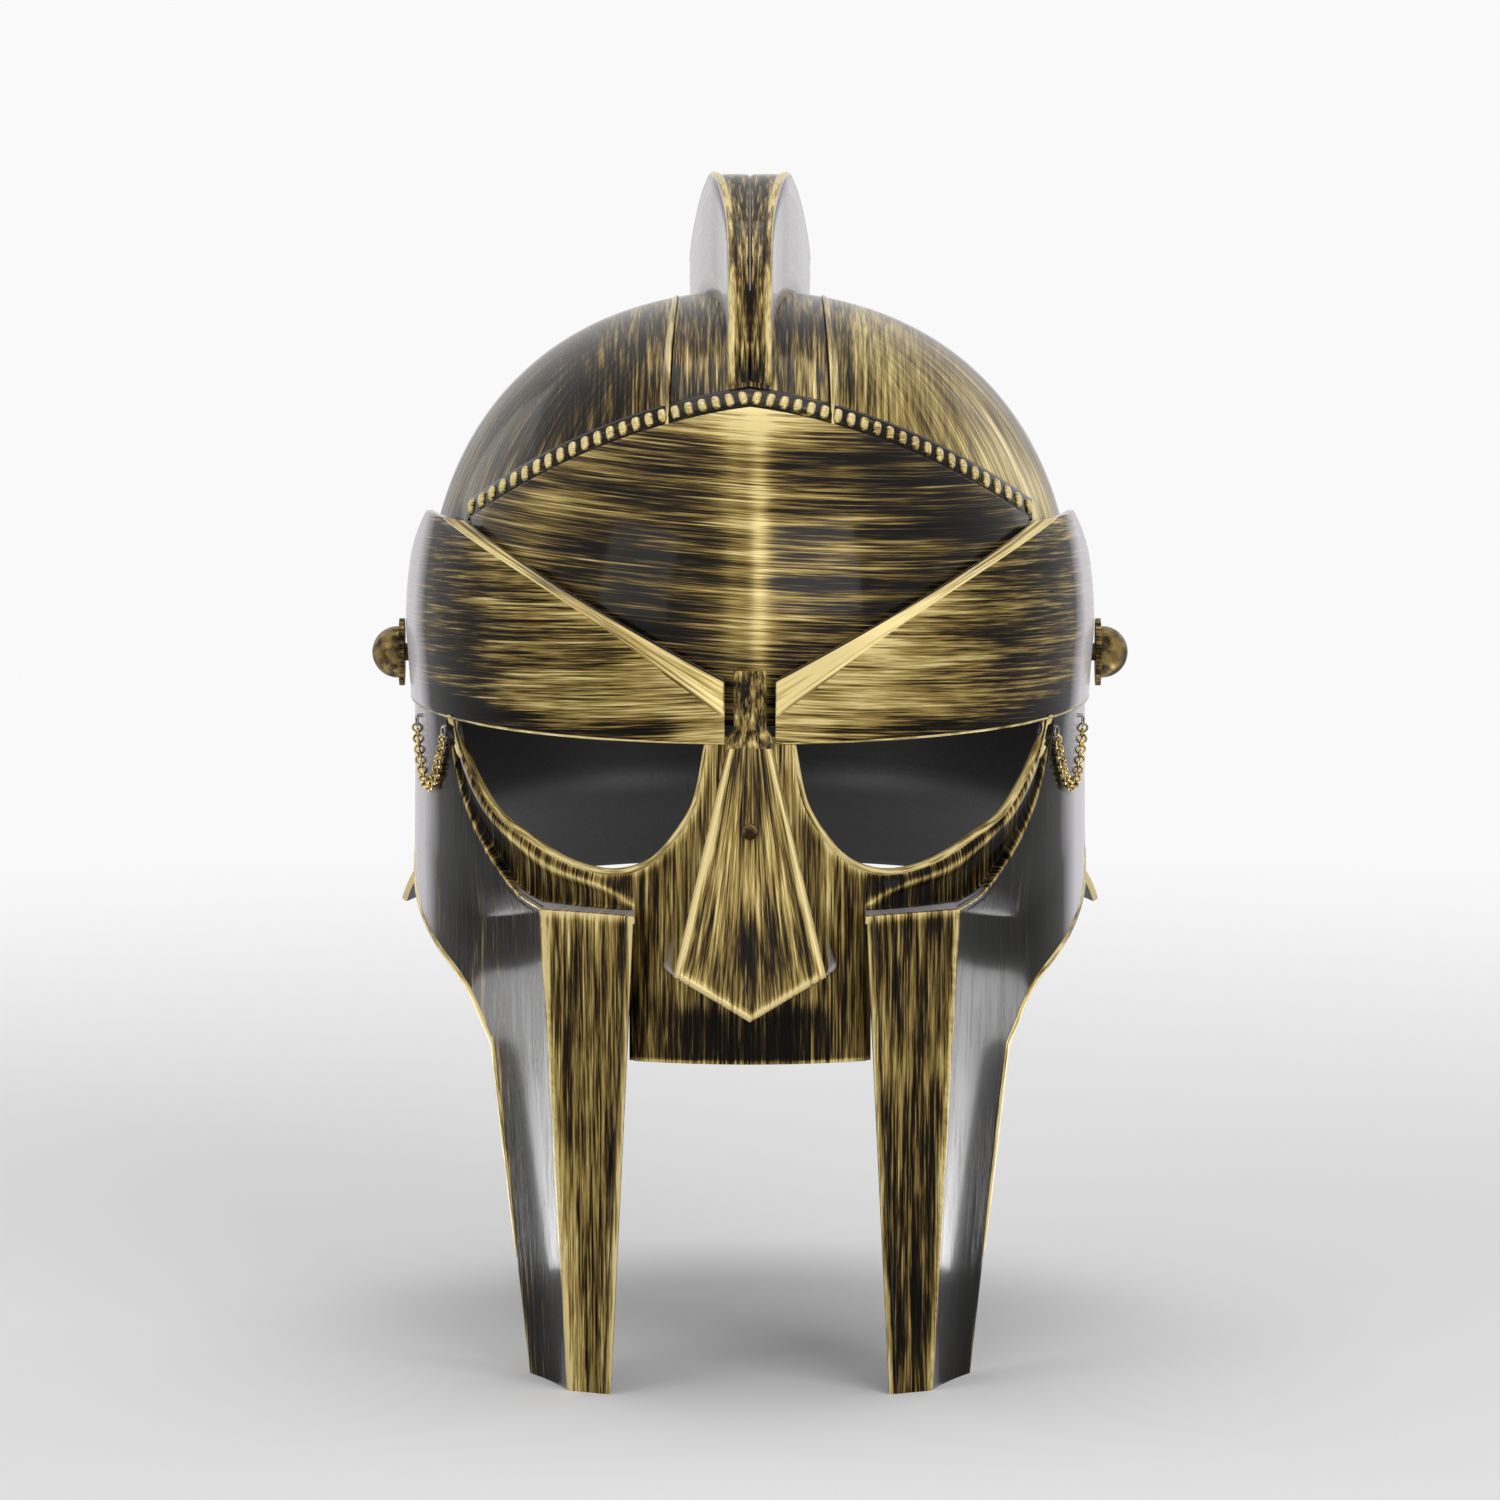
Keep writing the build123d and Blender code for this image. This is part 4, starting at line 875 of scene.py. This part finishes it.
# The middle of the mask: the lip, the nose and its flanks, up to the eyes' inner corners.
eye_line = on_oval(smooth_line([(x, 0, z) for x, z in EYE], 200))
beyond_nose = np.linspace(10, MIDDLE_HALF_WIDTH, 47)
across = np.concatenate([-beyond_nose[::-1], np.linspace(-9.5, 9.5, 27), beyond_nose])
top = np.minimum(np.interp(np.abs(across), eye_line[:, 0], eye_line[:, 2]), -10.0)
top = np.where(np.abs(across) < EYE[0][0], -10.0, top)
level = part_way(LIP_LEVEL, top, row_shares(MIDDLE_ROWS))
wide = np.broadcast_to(across, level.shape)
fall = np.clip((MASK_TOP_LEVEL - level) / (MASK_TOP_LEVEL - NOSE_CORNER[1]), 0, 1)
nose_half = part_way(NOSE_TOP_HALF, NOSE_CORNER[0], fall)
beside = smoothstep(1 - (np.abs(wide) - nose_half + 0.6) / NOSE_FLANK)
chevron = NOSE_TIP_LEVEL + (NOSE_CORNER[1] - NOSE_TIP_LEVEL) * np.abs(wide) / NOSE_CORNER[0]
under = smoothstep(1 - (np.minimum(chevron, NOSE_CORNER[1] + 2) - level + 0.8) / 3.2)
base = oval_along(wide)
raised = nose_front(np.maximum(level, NOSE_TIP_LEVEL), 0.0)
tucked_in = MIDDLE_TUCK * (np.abs(wide) > BLADE_INNER_TOP + 0.1)
middle = np.stack([wide, base + (raised - base) * beside * under + tucked_in, level], axis=2)
# Gold gathers round the eyes, above and along the lip. Under the nose it is painted darker:
# painted shade where the nose's shadow falls.
gap_to_eye = np.hypot(
    np.abs(wide)[..., None] - eye_line[:, 0], level[..., None] - eye_line[:, 2]
).min(axis=2)
middle_gold_and_shade = 0.45 * bell(gap_to_eye, 1.6) + 0.12 * smoothstep((level + 60) / 30)
# Painted shade under the nose.
middle_gold_and_shade -= 0.30 * smoothstep((-82 - level) / 6) * smoothstep((24 - np.abs(wide)) / 6)
middle_gold_and_shade += 0.5 * smoothstep((LIP_LEVEL + 1.4 - level) / 1.0)
middle_strokes = np.stack([level, wide * 1.05 + base * 0.25], axis=2)

# Each cheek's blade: its front, and the return along its inner edge.
blade_share = row_shares(BLADE_STATIONS)
ridge_blade = part_way(*np.array(RIDGE_BLADE), blade_share)
inner_blade = part_way(*np.array(BLADE_INNER), blade_share)
return_width = BLADE_RETURN_FOOT + BLADE_RETURN_WIDENING * blade_share
return_blade = inner_blade + (0.3, 1.0, 0) * return_width
blade = fill_rows(soft_rows([return_blade, inner_blade, ridge_blade], 1.1, 6), 2.0)
edge_gap = np.minimum(apart(blade, inner_blade), apart(blade, ridge_blade))
blade_gold = 0.60 * bell(edge_gap, 1.3) + 0.08
blade_gold[:4] -= 0.3
blade_gold += 0.5 * bell(blade[..., 2] - BLADE_TOP_LEVEL, 1.6)

# The eye's surround: from the blade's top and the climbing ridge, over a rim, to the eye.
climb = smooth_line(RIDGE_CLIMB, CLIMB_STATIONS)
top_share = row_shares(TOP_STATIONS)
top_edge = part_way(inner_blade[-1], ridge_blade[-1], top_share)
lower = np.vstack([top_edge, climb[1:]])
run = lengths_along(lower)
station_share = run / run[-1]
eye_part = eye_line[eye_line[:, 0] >= BLADE_INNER_TOP]
eye_part = even_line(eye_part[eye_part[:, 2] < MASK_HIDDEN_TOP], LINE_STEPS)
line_shares = np.linspace(0, 1, LINE_STEPS)
eye_rail = read_line(eye_part, line_shares, station_share)
rim_seen = smooth_line([(x, 0, z) for x, z in RIM_LINE], LINE_STEPS)
rim_rail = read_line(rim_seen, line_shares, station_share)
swell = smoothstep(station_share / 0.15)
rim_rail = on_oval(rim_rail, -RIM_PROUD * swell)
between = on_oval((eye_rail + rim_rail) / 2, -BESIDE_RIM_PROUD * swell)
ease = smoothstep((station_share - 0.30) / 0.4)[:, None]
ledge_back = on_oval(lower + (0, 0, 0.9), -0.2, SURROUND_REACH - 1)
valley_mid = on_oval(part_way(lower, rim_rail, 0.42), 0.2, SURROUND_REACH)
ledge_back = ledge_back * (1 - ease) + valley_mid * ease
under_rim = on_oval(part_way(ledge_back, rim_rail, 0.8), -0.5, SURROUND_REACH)
surround = soft_rows([lower, ledge_back, under_rim, rim_rail, between, eye_rail], 0.9, 5)
surround = fill_rows(surround, 2.5)
edge_gap = np.minimum(apart(surround, lower), apart(surround, rim_rail))
edge_gap = np.minimum(edge_gap, apart(surround, eye_rail) + 0.3)
surround_gold = 0.55 * bell(edge_gap, 1.3) - 0.10

# The outer side: from the whole ridge back to the rear edge. It is drawn in to the oval wall
# past the ridge, and slightly hollow beside the blade.
rear_low = part_way(*np.array(REAR_EDGE), row_shares(60))
jaw = smooth_line([(oval_across(y), y, z) for y, z in JAW_EDGE], 90)
jaw[:, 0] = oval_across(jaw[:, 1])
rear_top = even_line([jaw[-1], (*jaw[-1][:2], MASK_HIDDEN_TOP)], 40)
whole_ridge = np.vstack([ridge_blade, climb[1:]])
low_part, jaw_part, top_part = map(even_line, (rear_low, jaw, rear_top), REAR_STATIONS)
rear = np.vstack([low_part, jaw_part[1:], top_part[1:]])
out_share = np.concatenate([np.linspace(0, 0.1, 5), np.linspace(0.13, 1, 30)])[:, None, None]
outer = part_way(whole_ridge, rear, out_share)
reach = oval_reach(outer)
drawn_in = (1 - np.minimum(apart(outer, whole_ridge) / DRAW_REACH, 1)) ** 2
wanted = 1 + (oval_reach(whole_ridge) - 1)[None] * drawn_in
follow = smoothstep((outer[..., 2] - FOLLOW_LEVEL) / FOLLOW_REACH)
hollow = HOLLOW * np.sin(math.pi * out_share[..., 0]) * (1 - follow)
factor = 1 + (wanted / reach - 1) * follow
outer[..., 0] = (outer[..., 0] - hollow * HOLLOW_WAY[0]) * factor
outer[..., 1] = (outer[..., 1] + hollow * HOLLOW_WAY[1]) * factor
outer_gold = 0.95 * bell(apart(outer, whole_ridge), 1.1) + 0.5 * bell(apart(outer, rear), 1.6)
outer_gold -= 0.41


def up_strokes(points):
    """Stroke places for upright brushing: level along, and the way round the oval across."""
    turn = np.arctan2(points[..., 0], -points[..., 1] * MASK_HALF_WIDTH / MASK_HALF_LENGTH)
    return np.stack([points[..., 2], turn * 105], axis=-1)


mask_grids = [(middle, middle_strokes, middle_gold_and_shade)]
# Each side's gold share is shifted: lower on the left side, a little higher on the right.
for side, gold_shift in ((1, -0.18), (-1, 0.02)):
    for points, gold, facing in (
        (blade, blade_gold, -side), (surround, surround_gold, side), (outer, outer_gold, -side)
    ):
        points = mirrored(points, side)[::facing]
        mask_grids.append((points, up_strokes(points) + side * 31, gold[::facing] + gold_shift))
mask = surface("mask_moulding", mask_grids, inside=(0, 0, -80), weld=0.03)
# The mask's paint turns pale grey near edge-on, a painted reflection of the room.
mask_paint = brushed_gold(
    "mask_paint", 0.01, 6.4, length=20.0, width=0.65, gloss=0.22, painted_reflection_range=(0.71, 0.82)
)
give_wall(mask, MASK_WALL, (mask_paint, rim_paint, inner_plastic))
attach(mask, "visor")
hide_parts("face_mask")

# Rolled edges: round the eyes, the raised bead along the mask's rear edge, and the thin lip
# along the foot of each brow plate. They are part of the mouldings and rubbed bright.

EYE_ROLL, REAR_ROLL, LIP_ROLL = (1.15, 1.35, 0.9), (1.3, 1.5, 0.9), (0.42, 0.6, 0.35)


def rolled(path, across_half, out_half, inward):
    """A closed oval strip carried along a path: at each place a circle stretched along the way
    out of the mask and along the surface, square to the path and sunk inward of it."""
    way = unit(np.gradient(path, axis=0))
    out = path / (MASK_HALF_WIDTH**2, MASK_HALF_LENGTH**2, math.inf)
    out = unit(out - way * (out * way).sum(axis=1, keepdims=True))
    turn = np.linspace(0, 2 * math.pi, 15)[:, None, None]
    swell = np.sin(np.linspace(0, math.pi, len(path))) ** 0.12 * 0.999 + 0.001
    ring = np.cross(way, out) * across_half * np.cos(turn) + out * out_half * np.sin(turn)
    return path - out * inward + ring * swell[None, :, None]


rolls = [
    rolled(even_line(eye_line[eye_line[:, 2] < -10.8], 120), *EYE_ROLL),
    rolled(even_line(np.vstack([rear_low[20:], jaw, rear_top[:-4]]), 150), *REAR_ROLL),
    rolled(even_line(brow_points[0], 150) + (0, 0, 0.3), *LIP_ROLL),
]
edging_paint = brushed_gold("edging_paint", 0.26, 10.1, length=12.0, width=1.0)
for side, word in SIDES:
    grids = [(mirrored(roll, side)[::side], None, None) for roll in rolls]
    edging = surface(f"rolled_edges_{word}", grids, inside=(0, 0, -80), weld=0.001)
    give_finishes(edging, edging_paint)
    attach(edging, "visor")

# Nose bar: the short upright strip between the brow plates that ties the mask's nose to them,
# dabbed with gold rather than brushed.

BAR_HALF_WIDTH, BAR_TOP_LEVEL, BAR_FRONT = 4.5, 8.0, -117.2
BAR_TOE, BAR_FLARE = 1.9, 0.42
BAR_SECTION = [(-1.0, 3.2), (-1.0, 0.0), (-0.35, -0.25), (0.35, -0.25), (1.0, 0.0), (1.0, 3.2)]

levels = np.linspace(MASK_TOP_LEVEL - 2, BAR_TOP_LEVEL, 40)
front = BAR_FRONT - BAR_TOE * smoothstep((-6 - levels) / 8)
half = BAR_HALF_WIDTH * (1 + BAR_FLARE * smoothstep((-7 - levels) / 4))
bar_rails = [np.stack([half * out, front + back, levels], axis=1) for out, back in BAR_SECTION]
bar_points = fill_rows(soft_rows(bar_rails, 0.8, 5), 1.5)
nose_bar = surface("nose_bar", [(bar_points, None, 0.06)])
give_finishes(nose_bar, brushed_gold("dabbed_paint", 0.03, 1.9, length=4.0, width=1.3))
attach(nose_bar, "visor")

# Nose guard: a tapered facet bonded on the mask's nose, with bright ridges down both edges and
# along the chevron at its foot.

GUARD_OUT, GUARD_RIDGE, GUARD_ROWS = 1.8, 0.7, 90
SKIRT_DEPTHS = (0.5, 1.6, 3.2)
FOOT_DEPTHS = (0.6, 2.0, 4.0)

edge_part = np.linspace(0.8, 1, 9)
spread = np.concatenate([-edge_part[::-1], np.linspace(-0.74, 0.74, 31), edge_part])
fall = row_shares(GUARD_ROWS)
end_level = part_way(NOSE_TIP_LEVEL, NOSE_CORNER[1], np.abs(spread))
level = part_way(MASK_TOP_LEVEL, end_level, fall)
half = part_way(NOSE_TOP_HALF, NOSE_CORNER[0], fall)
wide = spread * half
edge_gap = np.minimum((1 - np.abs(spread)) * half, (level - end_level) * 0.86)
rise = GUARD_RIDGE * bell(edge_gap - 1.0, 0.9) - 0.5 * smoothstep(1 - edge_gap / 0.5)
guard = np.stack([wide, nose_front(level, GUARD_OUT - 0.5) - rise, level], axis=2)
left_skirt = [guard[:, :1] + (-0.25, depth, 0) for depth in SKIRT_DEPTHS[::-1]]
right_skirt = [guard[:, -1:] + (0.25, depth, 0) for depth in SKIRT_DEPTHS]
guard = np.concatenate(left_skirt + [guard] + right_skirt, axis=1)
foot_skirt = [guard[-1:] + (0, depth, -0.2) for depth in FOOT_DEPTHS]
guard = np.concatenate([guard] + foot_skirt, axis=0)
face_gold = 0.60 * bell(edge_gap - 0.8, 1.0) - 0.02
face_gold -= 0.35 * bell(wide, 7) * bell(level + 66, 10)
face_gold += 0.18 * bell(level + 50, 10)
guard_gold = np.zeros(guard.shape[:2])
guard_gold[: len(fall), 3:-3] = face_gold
guard_gold[len(fall):] = -0.2
guard_strokes = np.stack([guard[..., 2], guard[..., 0] + 40], axis=2)
guard_strokes[: len(fall), 3:-3, 1] = spread * 16 + 40
nose = surface("nose_shield", [(guard, guard_strokes, guard_gold)])
give_finishes(nose, brushed_gold("nose_paint", 0.05, 12.4, length=18.0, width=0.75))
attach(nose, "visor")
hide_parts("nose_guard")

# Knobs, washers, rivet and chains: turned and stamped brass, plated steel wire and plain
# plastic thrust washers. These keep the shapes that they were drawn with.


def worn_metal(name, bright, dark, rough, grain, metallic=1.0):
    """Metal with dark wax left in its hollows: a noise mixes a bright and a dark colour, and
    stirs the roughness and a fine bump."""
    material, tree, metal = new_finish(name)
    wax = noise(tree, object_places(tree), grain, 4.0)
    fill_sockets(tree, metal, {
        "Base Color": shaded(tree, wax, [(0.38, dark), (0.62, bright)]),
        "Roughness": ranged(tree, wax, end=(rough + 0.15, rough - 0.05)),
        "Metallic": metallic,
    })
    give_bump(tree, metal, wax, 0.25, 0.2)
    return material


brass = worn_metal("knob_brass_finish", (0.24, 0.165, 0.062), (0.028, 0.020, 0.011), 0.36, 260.0)
chain_brass = worn_metal("chain_brass_finish", (0.72, 0.56, 0.24), (0.20, 0.14, 0.05), 0.30, 500.0)
steel = worn_metal("steel_finish", (0.42, 0.42, 0.41), (0.16, 0.15, 0.14), 0.35, 400.0)
plastic = worn_metal("thrust_plastic", (0.03, 0.03, 0.03), (0.02, 0.02, 0.02), 0.5, 300.0, 0.0)
side_finishes = {"knob": brass, "pivot_washer": brass, "chain": chain_brass, "push_nut": steel,
                 "thrust_washer": plastic}
finishes = {"chain_hooks": steel, "nose_rivet": brass, "crest_screws": steel}
for side, word in SIDES:
    finishes |= {f"{kind}_{word}": finish for kind, finish in side_finishes.items()}
for node, finish in finishes.items():
    node_object = bpy.data.objects[node]
    if not node_object.material_slots:
        node_object.data.materials.append(finish)
    for place in node_object.material_slots:
        place.material = finish

# Pads: five linings of foam in black knitted cloth, stuck inside the bowl. Each is a crowned
# cushion whose sides draw in to a seam, with stitched channels across it.

PAD_GAP, PAD_THICKNESS = 2.7, 8.6
CROWN_PAD_HALF, CROWN_PAD_GAP = 44, 3.9
CROWN_POWER, CHANNEL_HALF_WIDTH, CHANNEL_FLOOR = 0.28, 0.07, 0.72
PAD_LEAN, PAD_LEAN_LEVEL = 0.25, 20


def pad_surface(place, channels):
    """A closed cushion: place gives a point on the lining for a share across, a share up and a
    depth inwards. The depth is the thickness times a low power of the distance from the four
    edges, less a shallow V at each channel."""
    wide, high = np.meshgrid(np.linspace(-1, 1, 49), np.linspace(-1, 1, 41))
    crown = ((1 - wide**2) * (1 - high**2)).clip(0) ** CROWN_POWER
    gap = np.ones_like(wide)
    for line in channels:
        gap = np.minimum(gap, np.abs(wide - line) / CHANNEL_HALF_WIDTH)
    crown = crown * (CHANNEL_FLOOR + (1 - CHANNEL_FLOOR) * smoothstep(gap))
    inner = place(wide, high, PAD_THICKNESS * crown)
    outer = place(wide, high, 0 * crown)
    return inner, outer[::-1]


def pad_cloth(name):
    """Black knitted cloth: two crossed waves over the surface make the loops, and a noise
    greys the nap."""
    material, tree, cloth = new_finish(name)
    places = stroke_map(tree)
    waves = [
        add_node(tree, "TexWave", {"Vector": places, "Scale": 0.35, "Distortion": 0.6},
                 bands_direction=direction).outputs["Fac"]
        for direction in ("X", "Y")
    ]
    nap = noise(tree, places, 0.25, 5.0)
    fill_sockets(tree, cloth, {
        "Base Color": blended(tree, nap, (0.010, 0.010, 0.011, 1), (0.035, 0.035, 0.038, 1)),
        "Roughness": 0.9,
        "Sheen Weight": 0.3,
    })
    give_bump(tree, cloth, worked(tree, "MULTIPLY", *waves), 0.6, 0.5)
    return material


def wall_pad(middle_degrees, half_degrees, low, top):
    """A pad on the bowl's wall: angles round the bowl and levels, at a depth inside it."""
    middle_turn, half_turn = math.radians(middle_degrees), math.radians(half_degrees)

    def place(wide, high, depth):
        turn = middle_turn + half_turn * wide * (1 - 0.04 * high**2)
        level = (low + top) / 2 + (top - low) / 2 * high * (1 - 0.05 * wide**2)
        width = dome_width(level, 0.0)
        share = 1 - (PAD_GAP + depth) / DOME_HALF_WIDTH
        share_long = 1 - (PAD_GAP + depth) / DOME_HALF_LENGTH
        return np.stack([width * share * np.sin(turn),
                         -width * share_long * np.cos(turn) * dome_stretch(0, 0),
                         level - PAD_LEAN * depth * (level > PAD_LEAN_LEVEL)], axis=-1)

    return place


def crown_pad(wide, high, depth):
    """The crown's pad: a squared disc in plan, at a depth under the bowl's top."""
    x = CROWN_PAD_HALF * wide * np.sqrt(1 - high**2 / 2)
    y = CROWN_PAD_HALF * high * np.sqrt(1 - wide**2 / 2)
    return np.stack([x * 0.97, y * 0.97, dome_top(x, y) - CROWN_PAD_GAP - depth], axis=-1)


cloth = pad_cloth("pad_knit")
pads = {
    "crown_pad": (crown_pad, (-0.34, 0.34)),
    "front_pad": (wall_pad(0.0, 30.5, 3.0, 35.0), (-0.5, 0.0, 0.5)),
    "rear_pad": (wall_pad(180.0, 33.0, -26.5, 28.5), (-0.5, 0.0, 0.5)),
    "side_pad_left": (wall_pad(90.0, 17.3, 15.0, 45.0), (0.0,)),
    "side_pad_right": (wall_pad(-90.0, 17.3, 15.0, 45.0), (0.0,)),
}
for node, (place, channels) in pads.items():
    inner, outer = pad_surface(place, channels)
    heart = (inner.mean(axis=(0, 1)) + outer.mean(axis=(0, 1))) / 2
    pad = surface(f"{node}_cushion", [(inner, None, None), (outer, None, None)], heart, 0.03)
    give_finishes(pad, cloth)
    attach(pad, "shell")
    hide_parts(node)

# Studio: a pale floor that fades to a white surround, soft lamps in front, above and behind,
# and a long lens at the photograph's angle, a little above the knobs.

FLOOR_LEVEL = BLADE_FOOT_LEVEL
FLOOR_RINGS = [0.0, 300.0, 900.0, 2700.0, 9000.0]
SHADOW_REACH = (0.30, 1.10)
SURROUND_WHITE, SURROUND_LIGHT = 0.95, 0.45
LAMP_AIM, CAMERA_TARGET = Vector((0, 0, -0.03)), np.array([0.0, 0.0, -0.028])
CAMERA_DISTANCE, CAMERA_VIEW_WIDTH, SENSOR_WIDTH = 2.9, 0.425, 36
CAMERA_ELEVATION = math.radians(7.0)


def seen_rays(tree):
    """One for a camera, glossy or transmission ray, and nought for the rest."""
    path = add_node(tree, "LightPath", {})
    seen = path.outputs["Is Camera Ray"]
    for kind in ("Is Glossy Ray", "Is Transmission Ray"):
        seen = worked(tree, "MAXIMUM", seen, path.outputs[kind])
    return seen


ring, turn = np.meshgrid(FLOOR_RINGS, np.linspace(0, 2 * math.pi, 49))
disc = np.stack([ring * np.cos(turn), ring * np.sin(turn), 0 * ring + FLOOR_LEVEL], axis=2)
floor = surface("studio_floor", [(disc, None, None)], inside=(0, 0, -3000), weld=0.5)
floor_white, tree, matte = new_finish("studio_white")
fill_sockets(tree, matte, {
    "Base Color": (0.86, 0.86, 0.87, 1), "Roughness": 0.9, "Specular IOR Level": 0.0,
})
away = add_node(tree, "VectorMath", {0: object_places(tree)}, operation="LENGTH").outputs["Value"]
fade = ranged(tree, away, SHADOW_REACH, interpolation_type="SMOOTHSTEP")
glow = add_node(tree, "Emission", {"Color": (SURROUND_WHITE,) * 3 + (1,)})
either = add_node(tree, "MixShader", {
    0: worked(tree, "MULTIPLY", fade, seen_rays(tree)), 1: matte.outputs[0], 2: glow.outputs[0],
})
fill_sockets(tree, tree.nodes["Material Output"], {"Surface": either.outputs[0]})
give_finishes(floor, floor_white)

world = bpy.data.worlds.new("studio_air")
bpy.context.scene.world = world
world.use_nodes = True
tree = world.node_tree
strength = ranged(tree, seen_rays(tree), end=(SURROUND_LIGHT, SURROUND_WHITE))
fill_sockets(tree, tree.nodes["Background"], {"Strength": strength, "Color": (1, 1, 1, 1)})


def lamp(name, place, size, power):
    """A soft lamp of a given width and height, aimed at the middle of the helmet."""
    light = bpy.data.lights.new(name, "AREA")
    light.shape = "RECTANGLE"
    light.size, light.size_y = size
    light.energy = power
    holder = bpy.data.objects.new(name, light)
    bpy.context.scene.collection.objects.link(holder)
    holder.location = place
    holder.visible_camera = False
    holder.rotation_euler = (LAMP_AIM - Vector(place)).to_track_quat("-Z", "Y").to_euler()
    return holder


lamp("key_lamp", (0.9, -1.6, 0.8), (1.1, 1.1), 13)
lamp("fill_lamp", (-1.4, -1.3, 0.7), (1.0, 1.0), 6)
lamp("top_lamp", (0.0, 0.4, 1.8), (1.2, 1.2), 9)
for side, word in SIDES:
    lamp(f"rear_lamp_{word}", (side * 1.3, 1.3, 0.6), (0.8, 0.8), 2.5)
    # A lamp that only shiny surfaces see, like a white card stood beside the blade.
    card = lamp(f"blade_card_{word}", (side * 0.152, -0.017, -0.141), (0.026, 0.10), 0.14)
    card.visible_diffuse = card.visible_transmission = False

camera_data = bpy.data.cameras.new("camera")
camera = bpy.data.objects.new("camera", camera_data)
bpy.context.scene.collection.objects.link(camera)
bpy.context.scene.camera = camera
camera.location = CAMERA_TARGET + CAMERA_DISTANCE * np.array(
    [0, -math.cos(CAMERA_ELEVATION), math.sin(CAMERA_ELEVATION)]
)
camera.rotation_euler = (math.pi / 2 - CAMERA_ELEVATION, 0, 0)
camera_data.sensor_width = SENSOR_WIDTH
camera_data.lens = SENSOR_WIDTH * CAMERA_DISTANCE / CAMERA_VIEW_WIDTH
camera_data.clip_end = 20
bpy.context.scene.view_settings.view_transform = "Standard"
